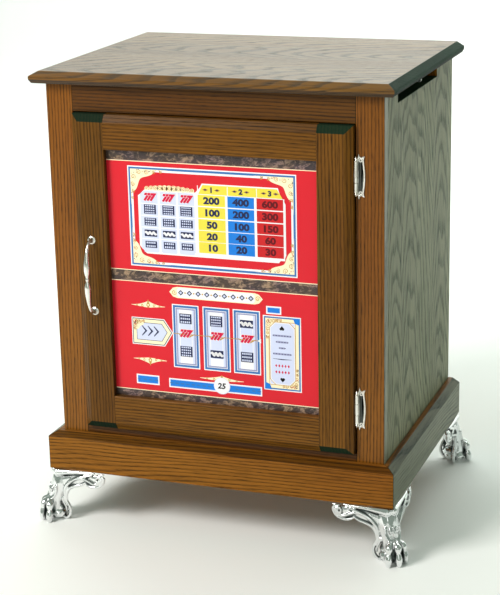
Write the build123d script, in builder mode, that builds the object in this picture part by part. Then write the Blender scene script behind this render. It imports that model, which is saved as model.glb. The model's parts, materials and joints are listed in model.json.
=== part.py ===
from build123d import *
import os

os.makedirs("parts", exist_ok=True)

# An oak pedestal cabinet for a slot machine: a framed carcass under an overhanging slab, a bevelled
# plinth on four cast claw feet, and one glazed door hung on the right. Millimetres. +X is right, the
# hinge side, +Y is back and +Z is up. The origin is on the floor under the centre of the plinth.

# Carcass
body_width = 533.4
body_depth = 415.8
carcass_height = 563.2  # from the top of the plinth to the underside of the slab
board_thickness = 18.0  # sides, floor and shelf
dado_depth = 6.0  # how far the floor lets into each side
back_thickness = 6.0
back_rabbet = 9.0  # how far the back laps each side
back_fit = 0.4
frame_thickness = 19.0  # face frame
frame_stile = 42.7
frame_top_rail = 42.8
frame_bottom_reach = 12.1  # bottom rail above the top of the plinth
cleat_size = 22.0
cleat_screw_inset = 40.0
back_screw_shares = (-0.06, 0.19, 0.44, 0.69, 0.94)  # heights up the carcass

# Slab
slab_thickness = 18.0
slab_overhang = 19.5
slab_bevel_width = 12.0
slab_bevel_drop = 7.0
slab_under_width = 3.4
slab_under_rise = 6.0

# Slot in the top edge of the right side, and the screw eye that shows in it
slot_start = 73.0  # from the front of the face frame
slot_length = 238.0
slot_height = 23.0
eye_place = 230.0  # from the front of the face frame
eye_drop = 15.0
eye_ring = 3.6
eye_wire = 1.1
eye_bite = 8.0

# Plinth
plinth_height = 62.5
plinth_board = 20.0
plinth_bevel_width = 12.0
plinth_bevel_drop = 7.3
corner_block = 50.0

# Shelf on pins in rows of holes
shelf_height = 235.0  # shelf top above the cabinet floor
shelf_gap = 1.5
pin_radius = 2.5
pin_fit = 0.1
pin_bite = 9.0
pin_hole_spare = 1.0
pin_reach = 9.0
pin_pad = 3.0
pin_row_pitch = 32.0
pin_rows = 5
pin_inset = 45.0

# Door
door_thickness = 20.0
door_proud = 15.5  # door face in front of the face frame
door_side_gap = 2.0
door_end_gap = 1.5
door_stile = 53.5
door_top_rail = 53.0
door_bottom_rail = 57.5
door_bevel_width = 11.5
door_bevel_depth = 7.5
sight_round = 1.5

# Glass, trim strips and what holds them
rabbet_width = 10.0
rabbet_depth = 10.0
glass_thickness = 3.0
glass_gap = 0.5
backing_thickness = 3.0
top_strip = 16.0
middle_strip = 16.5
bottom_strip = 11.0
lower_glass_height = 178.5
brad_inset = 60.0  # from the ends of a side stop
brad_share = 0.6  # of half the sight width, on the top and bottom stops

# Hinges
upper_hinge_drop = 75.3  # middle of the upper hinge below the top of the door
lower_hinge_rise = 72.3  # middle of the lower hinge above the bottom of the door
leaf_thickness = 1.5
leaf_half = 35.0
door_leaf_thickness = 1.2
door_leaf_half = 22.0
barrel_radius = 2.8
barrel_half = 22.5
barrel_gap = 0.4
knuckle_half = 8.7
knuckle_gap = 0.3
hinge_pin_radius = 1.2
hinge_pin_fit = 0.05
finial_base = 2.4
finial_tip = 0.5
collar = 1.0
spike = 6.0
leaf_screw_out = 6.2  # from the pin
leaf_screw_step = 24.0  # from the middle of the hinge
door_leaf_screw_step = 15.0
door_leaf_screw_set = 0.6  # behind the front of the face frame

# Handle
handle_inset = 27.0  # from the free edge of the door
handle_span = 114.0
handle_out = 22.5  # middle of the grip in front of the door face
handle_post = 10.0  # straight part of each post
handle_shoulder = 29.0
handle_bend = 9.0
handle_wire = 2.6
handle_bulge = 4.5
swelling_place = 14.0  # middle of each swelling from the middle of the grip
swelling_half = 15.0
handle_foot = 6.6
handle_foot_height = 7.0

# Catch
catch_width = 14.0
catch_height = 40.0
catch_gap = 0.5
plate_thickness = 1.2
plate_width = 14.0
plate_height = 26.0
plate_inset = 2.0  # from the free edge of the door
catch_screw_step = 13.0

# Feet
foot_height = 87.5
foot_plate = 3.0
wing_length = 96.0
wing_thickness = 9.0
wing_proud = 2.0
wing_end_radius = 10.5
wing_waist = ((-16.0, -6.0), (-30.0, -11.0))  # run and rise from the middle of the wing's end
wing_knee = ((36.0, -20.0), (27.0, -40.0))  # run from the corner, rise from the middle of the wing's end
plate_cut = 14.0
toe_radius = 9.0
toe_reach = 19.0
toe_spread = (-66.0, -22.0, 22.0, 66.0)  # each toe's turn away from straight out of the corner
paw_inset = 5.0
foot_screw_side = 15.0
foot_screw_along = 80.0
foot_screw_clear = 4.0  # corner screw beyond the inside of the carcass corner

# Screws: shank radius, head radius, length
case_screw = (2.0, 4.0, 32.0)
foot_screw = (2.0, 3.8, 26.0)
small_screw = (1.3, 2.6, 14.0)
catch_screw = (1.3, 2.6, 26.0)
plate_screw = (1.3, 2.6, 12.0)
handle_screw = (1.9, 3.6, 28.0)
brad = (0.8, 1.5, 20.0)
screw_fit = 0.1
pan_height = 2.2

# Places that follow from the sizes
half_width = body_width / 2
inner_half = half_width - board_thickness
plinth_half = half_width + plinth_board
plinth_depth = body_depth + plinth_board
plinth_front = -plinth_depth / 2
front = plinth_front + plinth_board
back = front + body_depth
behind_frame = front + frame_thickness
before_back = back - back_thickness
plinth_top = foot_height + plinth_height
slab_bottom = plinth_top + carcass_height
slab_top = slab_bottom + slab_thickness
opening_half = half_width - frame_stile
opening_bottom = plinth_top + frame_bottom_reach
opening_top = slab_bottom - frame_top_rail
floor_bottom = opening_bottom - board_thickness
door_half = opening_half - door_side_gap
door_bottom = opening_bottom + door_end_gap
door_top = opening_top - door_end_gap
door_front = front - door_proud
door_back = door_front + door_thickness
sight_half = door_half - door_stile
sight_bottom = door_bottom + door_bottom_rail
sight_top = door_top - door_top_rail
rabbet_half = sight_half + rabbet_width
rabbet_front = door_back - rabbet_depth
backing_front = rabbet_front + glass_thickness
stop_front = backing_front + backing_thickness
hinge_x = door_half + barrel_gap + barrel_radius
hinge_y = front - leaf_thickness - knuckle_gap - barrel_radius
handle_x = -door_half + handle_inset
handle_z = (door_bottom + door_top) / 2

middle = (Align.CENTER, Align.CENTER, Align.CENTER)
from_top = (Align.CENTER, Align.CENTER, Align.MAX)
from_base = (Align.CENTER, Align.CENTER, Align.MIN)


def save(piece, name):
    piece.part.label = name
    export_step(piece.part, f"parts/{name}.step")


def board(low, high, mode=Mode.ADD):
    # A square-edged board between two opposite corners, added to the open part.
    size = [end - start for start, end in zip(low, high)]
    with Locations(tuple(low)):
        Box(*size, align=(Align.MIN, Align.MIN, Align.MIN), mode=mode)


def faces_of(points, outward):
    # One plane for each screw, on the surface that its head sits in.
    return [Plane(origin=point, z_dir=outward) for point in points]


def pilot(places, screw):
    # The hole that a screw's shank runs in, measured from the plane of its head.
    shank, head, length = screw
    with Locations(*places):
        Cylinder(shank + screw_fit, length + screw_fit, align=from_top, mode=Mode.SUBTRACT)


def countersink(places, screw):
    shank, head, length = screw
    pilot(places, screw)
    with Locations(*places):
        Cone(shank + screw_fit, head + screw_fit, head - shank, align=from_top, mode=Mode.SUBTRACT)


def flat_screws(places, screw):
    shank, head, length = screw
    with Locations(*places):
        Cylinder(shank, length, align=from_top)
        Cone(shank, head, head - shank, align=from_top)


def pan_screws(places, screw):
    shank, head, length = screw
    with Locations(*places):
        Cylinder(shank, length, align=from_top)
        Cylinder(head, pan_height, align=from_base)


# Where the fixings go, in one place for the screws and the holes they share
cleat_underside = slab_bottom - cleat_size
front_cleat_y = behind_frame + cleat_size / 2
back_cleat_y = before_back - cleat_size / 2
cleat_spread = inner_half - cleat_screw_inset
top_screw_points = [
    (x, y, cleat_underside)
    for y in (front_cleat_y, back_cleat_y)
    for x in (-cleat_spread, 0.0, cleat_spread)
]
top_screw_planes = faces_of(top_screw_points, (0, 0, -1))

back_screw_x = inner_half + back_rabbet / 2
back_screw_points = [
    (side * back_screw_x, back, plinth_top + share * carcass_height)
    for side in (-1, 1)
    for share in back_screw_shares
]
back_screw_planes = faces_of(back_screw_points, (0, 1, 0))

foot_screw_corner = plinth_board + max(board_thickness, frame_thickness) + foot_screw_clear
corner_x = plinth_half - foot_screw_corner
corner_y = plinth_front + foot_screw_corner
along_x = plinth_half - foot_screw_along
along_y = plinth_front + foot_screw_along
side_x = plinth_half - foot_screw_side
side_y = plinth_front + foot_screw_side
foot_screw_spots = [(corner_x, corner_y), (along_x, side_y), (side_x, along_y)]
foot_screw_points = [
    (sx * x, sy * y, foot_height - foot_plate)
    for sx in (-1, 1)
    for sy in (-1, 1)
    for x, y in foot_screw_spots
]
foot_screw_planes = faces_of(foot_screw_points, (0, 0, -1))

leaf_screw_x = hinge_x + leaf_screw_out
door_leaf_screw_y = front + door_leaf_screw_set
hinge_centres = [door_top - upper_hinge_drop, door_bottom + lower_hinge_rise]
frame_leaf_points = [
    (leaf_screw_x, front - leaf_thickness, z + step)
    for z in hinge_centres
    for step in (-leaf_screw_step, leaf_screw_step)
]
frame_leaf_planes = faces_of(frame_leaf_points, (0, -1, 0))
door_leaf_points = [
    (door_half + door_leaf_thickness, door_leaf_screw_y, z + step)
    for z in hinge_centres
    for step in (-door_leaf_screw_step, door_leaf_screw_step)
]
door_leaf_planes = faces_of(door_leaf_points, (1, 0, 0))

handle_points = [(handle_x, door_back, handle_z + step * handle_span / 2) for step in (-1, 1)]
handle_planes = faces_of(handle_points, (0, 1, 0))

catch_front = door_back + plate_thickness + catch_gap
catch_right = -opening_half + catch_width
catch_screw_y = (catch_front + behind_frame) / 2
catch_points = [(catch_right, catch_screw_y, handle_z + end * catch_screw_step) for end in (-1, 1)]
catch_planes = faces_of(catch_points, (1, 0, 0))
plate_x = -door_half + plate_inset + plate_width / 2
plate_planes = faces_of([(plate_x, door_back + plate_thickness, handle_z)], (0, 1, 0))

brad_y = (stop_front + door_back) / 2
brad_x = sight_half * brad_share
brad_z_low = sight_bottom + brad_inset
brad_z_high = sight_top - brad_inset
brad_points = {
    "left": ([(-sight_half, brad_y, z) for z in (brad_z_low, brad_z_high)], (1, 0, 0)),
    "right": ([(sight_half, brad_y, z) for z in (brad_z_low, brad_z_high)], (-1, 0, 0)),
    "top": ([(x, brad_y, sight_top) for x in (-brad_x, brad_x)], (0, 0, -1)),
    "bottom": ([(x, brad_y, sight_bottom) for x in (-brad_x, brad_x)], (0, 0, 1)),
}
brad_planes = {side: faces_of(points, outward) for side, (points, outward) in brad_points.items()}

pin_columns = [behind_frame + pin_inset, before_back - pin_inset]
shelf_top = opening_bottom + shelf_height
shelf_bottom = shelf_top - board_thickness
pin_middle = shelf_bottom - pin_radius
pin_zs = [pin_middle + (row - pin_rows // 2) * pin_row_pitch for row in range(pin_rows)]

eye_x = half_width - board_thickness / 2
eye_y = front + eye_place
eye_z = slab_bottom - eye_drop


# Carcass
def plain_side():
    # The right-hand side board, rabbeted for the back, dadoed for the floor and drilled for the pins.
    with BuildPart() as side:
        board((inner_half, behind_frame, foot_height), (half_width, back, slab_bottom))
        board(
            (inner_half, before_back, foot_height),
            (inner_half + back_rabbet, back, slab_bottom),
            mode=Mode.SUBTRACT,
        )
        board(
            (inner_half, behind_frame, floor_bottom),
            (inner_half + dado_depth, before_back, opening_bottom),
            mode=Mode.SUBTRACT,
        )
        pin_holes = faces_of([(inner_half, y, z) for y in pin_columns for z in pin_zs], (-1, 0, 0))
        with Locations(*pin_holes):
            Cylinder(pin_radius + pin_fit, pin_bite + pin_hole_spare, align=from_top, mode=Mode.SUBTRACT)
        pilot(back_screw_planes, small_screw)
    return side.part


with BuildPart() as left_side_panel:
    mirror(plain_side(), about=Plane.YZ)
save(left_side_panel, "left_side_panel")

with BuildPart() as right_side_panel:
    add(plain_side())
    board(
        (inner_half, front + slot_start, slab_bottom - slot_height),
        (half_width, front + slot_start + slot_length, slab_bottom),
        mode=Mode.SUBTRACT,
    )
save(right_side_panel, "right_side_panel")

with BuildPart() as back_panel:
    back_half = inner_half + back_rabbet - back_fit
    board((-back_half, before_back, foot_height), (back_half, back, slab_bottom))
    countersink(back_screw_planes, small_screw)
save(back_panel, "back_panel")

with BuildPart() as cabinet_floor:
    floor_half = inner_half + dado_depth
    board((-floor_half, behind_frame, floor_bottom), (floor_half, before_back, opening_bottom))
save(cabinet_floor, "cabinet_floor")

with BuildPart() as shelf:
    shelf_half = inner_half - shelf_gap
    board(
        (-shelf_half, behind_frame + shelf_gap, shelf_bottom),
        (shelf_half, before_back - shelf_gap, shelf_top),
    )
save(shelf, "shelf")

# Each shelf pin is a round peg with a flat pad that the shelf lies on.
with BuildPart() as shelf_pins:
    for side in (-1, 1):
        for y in pin_columns:
            with Locations(Plane(origin=(side * inner_half, y, pin_middle), z_dir=(-side, 0, 0))):
                Cylinder(pin_radius, pin_bite, align=from_top)
            pad_end = side * (inner_half - pin_reach)
            board(
                (min(pad_end, side * inner_half), y - pin_pad, pin_middle - pin_radius),
                (max(pad_end, side * inner_half), y + pin_pad, shelf_bottom),
            )
save(shelf_pins, "shelf_pins")

for name, y in (("top_front_cleat", front_cleat_y), ("top_back_cleat", back_cleat_y)):
    with BuildPart() as cleat:
        board(
            (-inner_half, y - cleat_size / 2, cleat_underside),
            (inner_half, y + cleat_size / 2, slab_bottom),
        )
        countersink(top_screw_planes, case_screw)
    save(cleat, name)

with BuildPart() as top_screws:
    flat_screws(top_screw_planes, case_screw)
save(top_screws, "top_screws")

with BuildPart() as back_screws:
    flat_screws(back_screw_planes, small_screw)
save(back_screws, "back_screws")

with BuildPart() as frame_right_stile:
    board((opening_half, front, foot_height), (half_width, behind_frame, slab_bottom))
    pilot(frame_leaf_planes, small_screw)
save(frame_right_stile, "frame_right_stile")

with BuildPart() as frame_left_stile:
    board((-half_width, front, foot_height), (-opening_half, behind_frame, slab_bottom))
    pilot(catch_planes, catch_screw)
save(frame_left_stile, "frame_left_stile")

with BuildPart() as frame_top_rail_piece:
    board((-opening_half, front, opening_top), (opening_half, behind_frame, slab_bottom))
save(frame_top_rail_piece, "frame_top_rail")

with BuildPart() as frame_bottom_rail:
    board((-opening_half, front, foot_height), (opening_half, behind_frame, opening_bottom))
save(frame_bottom_rail, "frame_bottom_rail")

# Slab, bevelled above and eased below on the front and the two sides, square at the back
with BuildPart() as top_slab:
    slab_half = half_width + slab_overhang
    board((-slab_half, front - slab_overhang, slab_bottom), (slab_half, back, slab_top))
    upper = top_slab.faces().sort_by(Axis.Z)[-1]
    upper_edges = upper.edges().sort_by(Axis.Y)[:-1]
    chamfer(upper_edges, slab_bevel_width, slab_bevel_drop, reference=upper)
    lower = top_slab.faces().sort_by(Axis.Z)[0]
    lower_edges = lower.edges().sort_by(Axis.Y)[:-1]
    chamfer(lower_edges, slab_under_width, slab_under_rise, reference=lower)
    pilot(top_screw_planes, case_screw)
    with Locations((eye_x, eye_y, slab_bottom)):
        Cylinder(eye_wire + screw_fit, eye_bite + screw_fit, align=from_base, mode=Mode.SUBTRACT)
save(top_slab, "top_slab")

with BuildPart() as slot_eye:
    with Locations((eye_x, eye_y, eye_z + eye_ring)):
        Cylinder(eye_wire, slab_bottom + eye_bite - eye_z - eye_ring, align=from_base)
    with Locations(Plane(origin=(eye_x, eye_y, eye_z), z_dir=(0, 1, 0))):
        Torus(eye_ring, eye_wire)
save(slot_eye, "slot_eye")


# Plinth: three mitred boards around the foot of the carcass, bevelled along the top
def plinth_piece(outline):
    with BuildPart() as piece:
        with BuildSketch(Plane.XY.offset(foot_height)):
            with BuildLine():
                Polyline(*outline, close=True)
            make_face()
        extrude(amount=plinth_height)
    return piece.part


front_outline = [
    (-plinth_half, plinth_front),
    (plinth_half, plinth_front),
    (half_width, front),
    (-half_width, front),
]
with BuildPart() as plinth_front_board:
    add(plinth_piece(front_outline))
    upper = plinth_front_board.faces().sort_by(Axis.Z)[-1]
    chamfer(upper.edges().sort_by(Axis.Y)[0], plinth_bevel_width, plinth_bevel_drop, reference=upper)
    pilot(foot_screw_planes, foot_screw)
save(plinth_front_board, "plinth_front_board")

side_outline = [(half_width, front), (plinth_half, plinth_front), (plinth_half, back), (half_width, back)]
with BuildPart() as plinth_right_board:
    add(plinth_piece(side_outline))
    upper = plinth_right_board.faces().sort_by(Axis.Z)[-1]
    chamfer(upper.edges().sort_by(Axis.X)[-1], plinth_bevel_width, plinth_bevel_drop, reference=upper)
    pilot(foot_screw_planes, foot_screw)
save(plinth_right_board, "plinth_right_board")

with BuildPart() as plinth_left_board:
    mirror(plinth_right_board.part, about=Plane.YZ)
save(plinth_left_board, "plinth_left_board")

with BuildPart() as plinth_back_rail:
    board(
        (-inner_half, before_back - board_thickness, foot_height),
        (inner_half, before_back, floor_bottom),
    )
    pilot(foot_screw_planes, foot_screw)
save(plinth_back_rail, "plinth_back_rail")

block_back = before_back - board_thickness
for side, side_name in ((-1, "left"), (1, "right")):
    for end_name, y_low in (("front", behind_frame), ("back", block_back - corner_block)):
        with BuildPart() as corner:
            x_near = side * (inner_half - corner_block)
            x_far = side * inner_half
            board(
                (min(x_near, x_far), y_low, foot_height),
                (max(x_near, x_far), y_low + corner_block, floor_bottom),
            )
            pilot(foot_screw_planes, foot_screw)
        save(corner, f"corner_block_{end_name}_{side_name}")


# Claw feet
def ring(height, inset, along, across):
    # A section of the leg, an oval turned to face out of the corner.
    place = Plane.XY.offset(height)
    shift = inset / 2**0.5
    with BuildSketch(place, mode=Mode.PRIVATE) as oval:
        with Locations(Location((plinth_half - shift, plinth_front + shift), -45)):
            Ellipse(along, across)
    return oval.sketch


def wing_profile():
    # Outline of a wing: x runs from the corner to the tip, y is the height above the floor.
    tip_x = wing_length - wing_end_radius
    tip_z = foot_height - wing_end_radius
    with BuildSketch(mode=Mode.PRIVATE) as profile:
        (waist_run, waist_rise), (neck_run, neck_rise) = wing_waist
        (knee_run, knee_rise), (shin_run, shin_rise) = wing_knee
        with BuildLine():
            rim = Line((0.0, foot_height), (tip_x, foot_height))
            end = ThreePointArc(rim @ 1, (wing_length, tip_z), (tip_x, tip_z - wing_end_radius))
            waist = ThreePointArc(
                end @ 1, (tip_x + waist_run, tip_z + waist_rise), (tip_x + neck_run, tip_z + neck_rise)
            )
            knee = ThreePointArc(waist @ 1, (knee_run, tip_z + knee_rise), (shin_run, tip_z + shin_rise))
            shin = Line(knee @ 1, (0.0, tip_z + shin_rise))
            Line(shin @ 1, rim @ 0)
        make_face()
    return profile.sketch


# Height, middle inward of the corner, half length and half width of each section
leg_rings = [
    (0.0, 6.0, 19.0, 23.0),
    (9.0, 5.0, 21.0, 25.0),
    (22.0, 9.0, 18.0, 21.0),
    (36.0, 15.0, 13.5, 16.5),
    (56.0, 17.0, 14.0, 21.0),
    (foot_height - foot_plate, 18.0, 13.0, 24.0),
]

with BuildPart() as front_right_foot:
    loft([ring(*values) for values in leg_rings])
    paw_shift = paw_inset / 2**0.5
    with Locations((plinth_half - paw_shift, plinth_front + paw_shift, toe_radius)):
        for turn in toe_spread:
            with PolarLocations(toe_reach, 1, start_angle=turn - 45.0):
                Sphere(toe_radius)
    with BuildSketch(Plane.XY.offset(foot_height - foot_plate)):
        with BuildLine():
            Polyline(
                (plinth_half, plinth_front),
                (plinth_half, plinth_front + wing_length),
                (plinth_half - plate_cut, plinth_front + wing_length),
                (plinth_half - wing_length, plinth_front + plate_cut),
                (plinth_half - wing_length, plinth_front),
                close=True,
            )
        make_face()
    extrude(amount=foot_plate)
    wing_corner = (plinth_half + wing_proud, plinth_front - wing_proud, 0)
    extrude(Plane(origin=wing_corner, x_dir=(-1, 0, 0), z_dir=(0, 1, 0)) * wing_profile(), wing_thickness)
    extrude(Plane(origin=wing_corner, x_dir=(0, 1, 0), z_dir=(1, 0, 0)) * wing_profile(), -wing_thickness)
    pilot(foot_screw_planes, foot_screw)
    with Locations(*foot_screw_planes):
        Cylinder(foot_screw[1] + screw_fit, wing_length / 2, align=from_base, mode=Mode.SUBTRACT)
save(front_right_foot, "foot_front_right")

with BuildPart() as back_right_foot:
    mirror(front_right_foot.part, about=Plane.XZ)
save(back_right_foot, "foot_back_right")

with BuildPart() as front_left_foot:
    mirror(front_right_foot.part, about=Plane.YZ)
save(front_left_foot, "foot_front_left")

with BuildPart() as back_left_foot:
    mirror(back_right_foot.part, about=Plane.YZ)
save(back_left_foot, "foot_back_left")

with BuildPart() as foot_screws:
    pan_screws(foot_screw_planes, foot_screw)
save(foot_screws, "foot_screws")


# Door frame: full-height stiles with the rails between them, bevelled all round the outside
def rabbet():
    # The step behind the sight edge that the glass, backing and stops lie in.
    board(
        (-rabbet_half, rabbet_front, sight_bottom - rabbet_width),
        (rabbet_half, door_back, sight_top + rabbet_width),
        mode=Mode.SUBTRACT,
    )


with BuildPart() as door_left_stile:
    board((-door_half, door_front, door_bottom), (-sight_half, door_back, door_top))
    face = door_left_stile.faces().sort_by(Axis.Y)[0]
    rim = face.edges().sort_by(Axis.X)
    chamfer(rim[:-1], door_bevel_width, door_bevel_depth, reference=face)
    rabbet()
    countersink(handle_planes, handle_screw)
    pilot(plate_planes, plate_screw)
    pilot(brad_planes["left"], brad)
save(door_left_stile, "door_left_stile")

with BuildPart() as door_right_stile:
    board((sight_half, door_front, door_bottom), (door_half, door_back, door_top))
    face = door_right_stile.faces().sort_by(Axis.Y)[0]
    rim = face.edges().sort_by(Axis.X)
    chamfer(rim[1:], door_bevel_width, door_bevel_depth, reference=face)
    rabbet()
    pilot(door_leaf_planes, small_screw)
    pilot(brad_planes["right"], brad)
save(door_right_stile, "door_right_stile")

with BuildPart() as door_top_rail_piece:
    board((-sight_half, door_front, sight_top), (sight_half, door_back, door_top))
    face = door_top_rail_piece.faces().sort_by(Axis.Y)[0]
    rim = face.edges().sort_by(Axis.Z)
    chamfer(rim[-1], door_bevel_width, door_bevel_depth, reference=face)
    fillet(door_top_rail_piece.edges().filter_by(Axis.X).group_by(Axis.Z)[0].sort_by(Axis.Y)[0], sight_round)
    rabbet()
    pilot(brad_planes["top"], brad)
save(door_top_rail_piece, "door_top_rail")

with BuildPart() as door_bottom_rail_piece:
    board((-sight_half, door_front, door_bottom), (sight_half, door_back, sight_bottom))
    face = door_bottom_rail_piece.faces().sort_by(Axis.Y)[0]
    rim = face.edges().sort_by(Axis.Z)
    chamfer(rim[0], door_bevel_width, door_bevel_depth, reference=face)
    fillet(
        door_bottom_rail_piece.edges().filter_by(Axis.X).group_by(Axis.Z)[-1].sort_by(Axis.Y)[0], sight_round
    )
    rabbet()
    pilot(brad_planes["bottom"], brad)
save(door_bottom_rail_piece, "door_bottom_rail")


# Glass panes and trim strips, stacked from the bottom of the rabbet to the top
pane_half = rabbet_half - glass_gap
lower_glass_bottom = sight_bottom + bottom_strip
lower_glass_top = lower_glass_bottom + lower_glass_height
upper_glass_bottom = lower_glass_top + middle_strip
upper_glass_top = sight_top - top_strip
stack = {
    "trim_strip_bottom": (sight_bottom - rabbet_width + glass_gap, lower_glass_bottom),
    "play_glass": (lower_glass_bottom, lower_glass_top),
    "trim_strip_middle": (lower_glass_top, upper_glass_bottom),
    "award_glass": (upper_glass_bottom, upper_glass_top),
    "trim_strip_top": (upper_glass_top, sight_top + rabbet_width - glass_gap),
}
for name, (low_z, high_z) in stack.items():
    with BuildPart() as pane:
        board((-pane_half, rabbet_front, low_z), (pane_half, backing_front, high_z))
    save(pane, name)

with BuildPart() as glass_backing:
    board(
        (-pane_half, backing_front, sight_bottom - rabbet_width + glass_gap),
        (pane_half, stop_front, sight_top + rabbet_width - glass_gap),
    )
save(glass_backing, "glass_backing")

stops = {
    "left": (-rabbet_half, -sight_half, sight_bottom - rabbet_width, sight_top + rabbet_width),
    "right": (sight_half, rabbet_half, sight_bottom - rabbet_width, sight_top + rabbet_width),
    "top": (-sight_half, sight_half, sight_top, sight_top + rabbet_width),
    "bottom": (-sight_half, sight_half, sight_bottom - rabbet_width, sight_bottom),
}
for side, (low_x, high_x, low_z, high_z) in stops.items():
    with BuildPart() as stop:
        board((low_x, stop_front, low_z), (high_x, door_back, high_z))
        countersink(brad_planes[side], brad)
    save(stop, f"glass_stop_{side}")

with BuildPart() as stop_brads:
    for planes in brad_planes.values():
        flat_screws(planes, brad)
save(stop_brads, "stop_brads")


# Hinges: a leaf on the face frame, a leaf on the door's edge and a pin with a finial at each end
def leaf_outline():
    # Crowned plate: x runs away from the pin, y is the height above the middle of the hinge.
    crown = [(0.0, 23.0), (0.8, 28.0), (3.4, leaf_half), (7.4, 28.0), (13.0, 31.0), (11.8, 24.0)]
    with BuildSketch(mode=Mode.PRIVATE) as outline:
        with BuildLine():
            Polyline(*crown)
            ThreePointArc(crown[-1], (13.4, 0.0), (crown[-1][0], -crown[-1][1]))
            Polyline(*[(x, -z) for x, z in crown])
            Line((0.0, -crown[0][1]), crown[0])
        make_face()
    return outline.sketch


for number, z in (("upper", hinge_centres[0]), ("lower", hinge_centres[1])):
    with BuildPart() as frame_leaf:
        leaf_plane = Plane(origin=(hinge_x, front, z), x_dir=(1, 0, 0), z_dir=(0, -1, 0))
        extrude(leaf_plane * leaf_outline(), leaf_thickness)
        outer_knuckle = barrel_half - knuckle_half - knuckle_gap
        for end in (-1, 1):
            knuckle_z = z + end * (barrel_half - outer_knuckle / 2)
            with Locations((hinge_x, hinge_y, knuckle_z)):
                Cylinder(barrel_radius, outer_knuckle, align=middle)
            board(
                (hinge_x, hinge_y, knuckle_z - outer_knuckle / 2),
                (hinge_x + barrel_radius, front, knuckle_z + outer_knuckle / 2),
            )
        with Locations((hinge_x, hinge_y, z)):
            Cylinder(hinge_pin_radius + hinge_pin_fit, 2 * leaf_half, align=middle, mode=Mode.SUBTRACT)
        countersink(frame_leaf_planes, small_screw)
    save(frame_leaf, f"hinge_frame_leaf_{number}")

    with BuildPart() as door_leaf:
        plate_start = hinge_y + barrel_radius + barrel_gap
        board(
            (door_half, plate_start, z - door_leaf_half),
            (door_half + door_leaf_thickness, door_back, z + door_leaf_half),
        )
        board(
            (door_half, hinge_y, z - knuckle_half),
            (door_half + door_leaf_thickness, plate_start, z + knuckle_half),
        )
        with Locations((hinge_x, hinge_y, z)):
            Cylinder(barrel_radius, 2 * knuckle_half, align=middle)
            Cylinder(hinge_pin_radius + hinge_pin_fit, 2 * leaf_half, align=middle, mode=Mode.SUBTRACT)
        countersink(door_leaf_planes, small_screw)
    save(door_leaf, f"hinge_door_leaf_{number}")

    with BuildPart() as hinge_pin:
        with Locations((hinge_x, hinge_y, z)):
            Cylinder(hinge_pin_radius, 2 * barrel_half, align=middle)
        for end in (-1, 1):
            with Locations(Plane(origin=(hinge_x, hinge_y, z + end * barrel_half), z_dir=(0, 0, end))):
                Cylinder(finial_base, collar, align=from_base)
            with Locations(
                Plane(origin=(hinge_x, hinge_y, z + end * (barrel_half + collar)), z_dir=(0, 0, end))
            ):
                Cone(finial_base, finial_tip, spike, align=from_base)
    save(hinge_pin, f"hinge_pin_{number}")

with BuildPart() as frame_leaf_screws:
    flat_screws(frame_leaf_planes, small_screw)
save(frame_leaf_screws, "frame_leaf_screws")

with BuildPart() as door_leaf_screws:
    flat_screws(door_leaf_planes, small_screw)
save(door_leaf_screws, "door_leaf_screws")


# Bow handle: a bent bar with two swellings and flared feet, screwed from behind the stile
with BuildPart() as handle:
    half_span = handle_span / 2
    bow = [(0.0, half_span), (handle_post, half_span), (handle_out, half_span - handle_shoulder)]
    bow += [(out, -z) for out, z in reversed(bow)]
    with BuildLine() as path:
        FilletPolyline(*[(handle_x, door_front - out, handle_z + z) for out, z in bow], radius=handle_bend)
    with BuildSketch(Plane(origin=path.line @ 0, z_dir=(0, -1, 0))):
        Circle(handle_wire)
    sweep(path=path.wires()[0])
    for end in (-1, 1):
        place = (handle_x, door_front - handle_out, handle_z + end * swelling_place)
        with BuildSketch(Plane(origin=place, x_dir=(1, 0, 0), z_dir=(0, -1, 0))):
            with BuildLine():
                belly = ThreePointArc((0, -swelling_half), (handle_bulge, 0), (0, swelling_half))
                Line(belly @ 1, belly @ 0)
            make_face()
        revolve(axis=Axis(place, (0, 0, 1)))
        foot_place = Plane(origin=(handle_x, door_front, handle_z + end * half_span), z_dir=(0, -1, 0))
        with Locations(foot_place):
            Cone(handle_foot, handle_wire, handle_foot_height, align=from_base)
    pilot(handle_planes, handle_screw)
save(handle, "handle")

with BuildPart() as handle_screws:
    flat_screws(handle_planes, handle_screw)
save(handle_screws, "handle_screws")

# Magnetic catch on the free side: the magnet on the frame, its plate on the back of the door
with BuildPart() as catch_magnet:
    board(
        (-opening_half, catch_front, handle_z - catch_height / 2),
        (catch_right, behind_frame, handle_z + catch_height / 2),
    )
    countersink(catch_planes, catch_screw)
save(catch_magnet, "catch_magnet")

with BuildPart() as catch_screws:
    flat_screws(catch_planes, catch_screw)
save(catch_screws, "catch_screws")

with BuildPart() as catch_plate:
    board(
        (plate_x - plate_width / 2, door_back, handle_z - plate_height / 2),
        (plate_x + plate_width / 2, door_back + plate_thickness, handle_z + plate_height / 2),
    )
    countersink(plate_planes, plate_screw)
save(catch_plate, "catch_plate")

with BuildPart() as plate_screw_piece:
    flat_screws(plate_planes, plate_screw)
save(plate_screw_piece, "catch_plate_screw")
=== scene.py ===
import json
import math
import random

import bmesh
import bpy
from mathutils import Matrix, Vector
from mathutils.bvhtree import BVHTree

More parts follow.
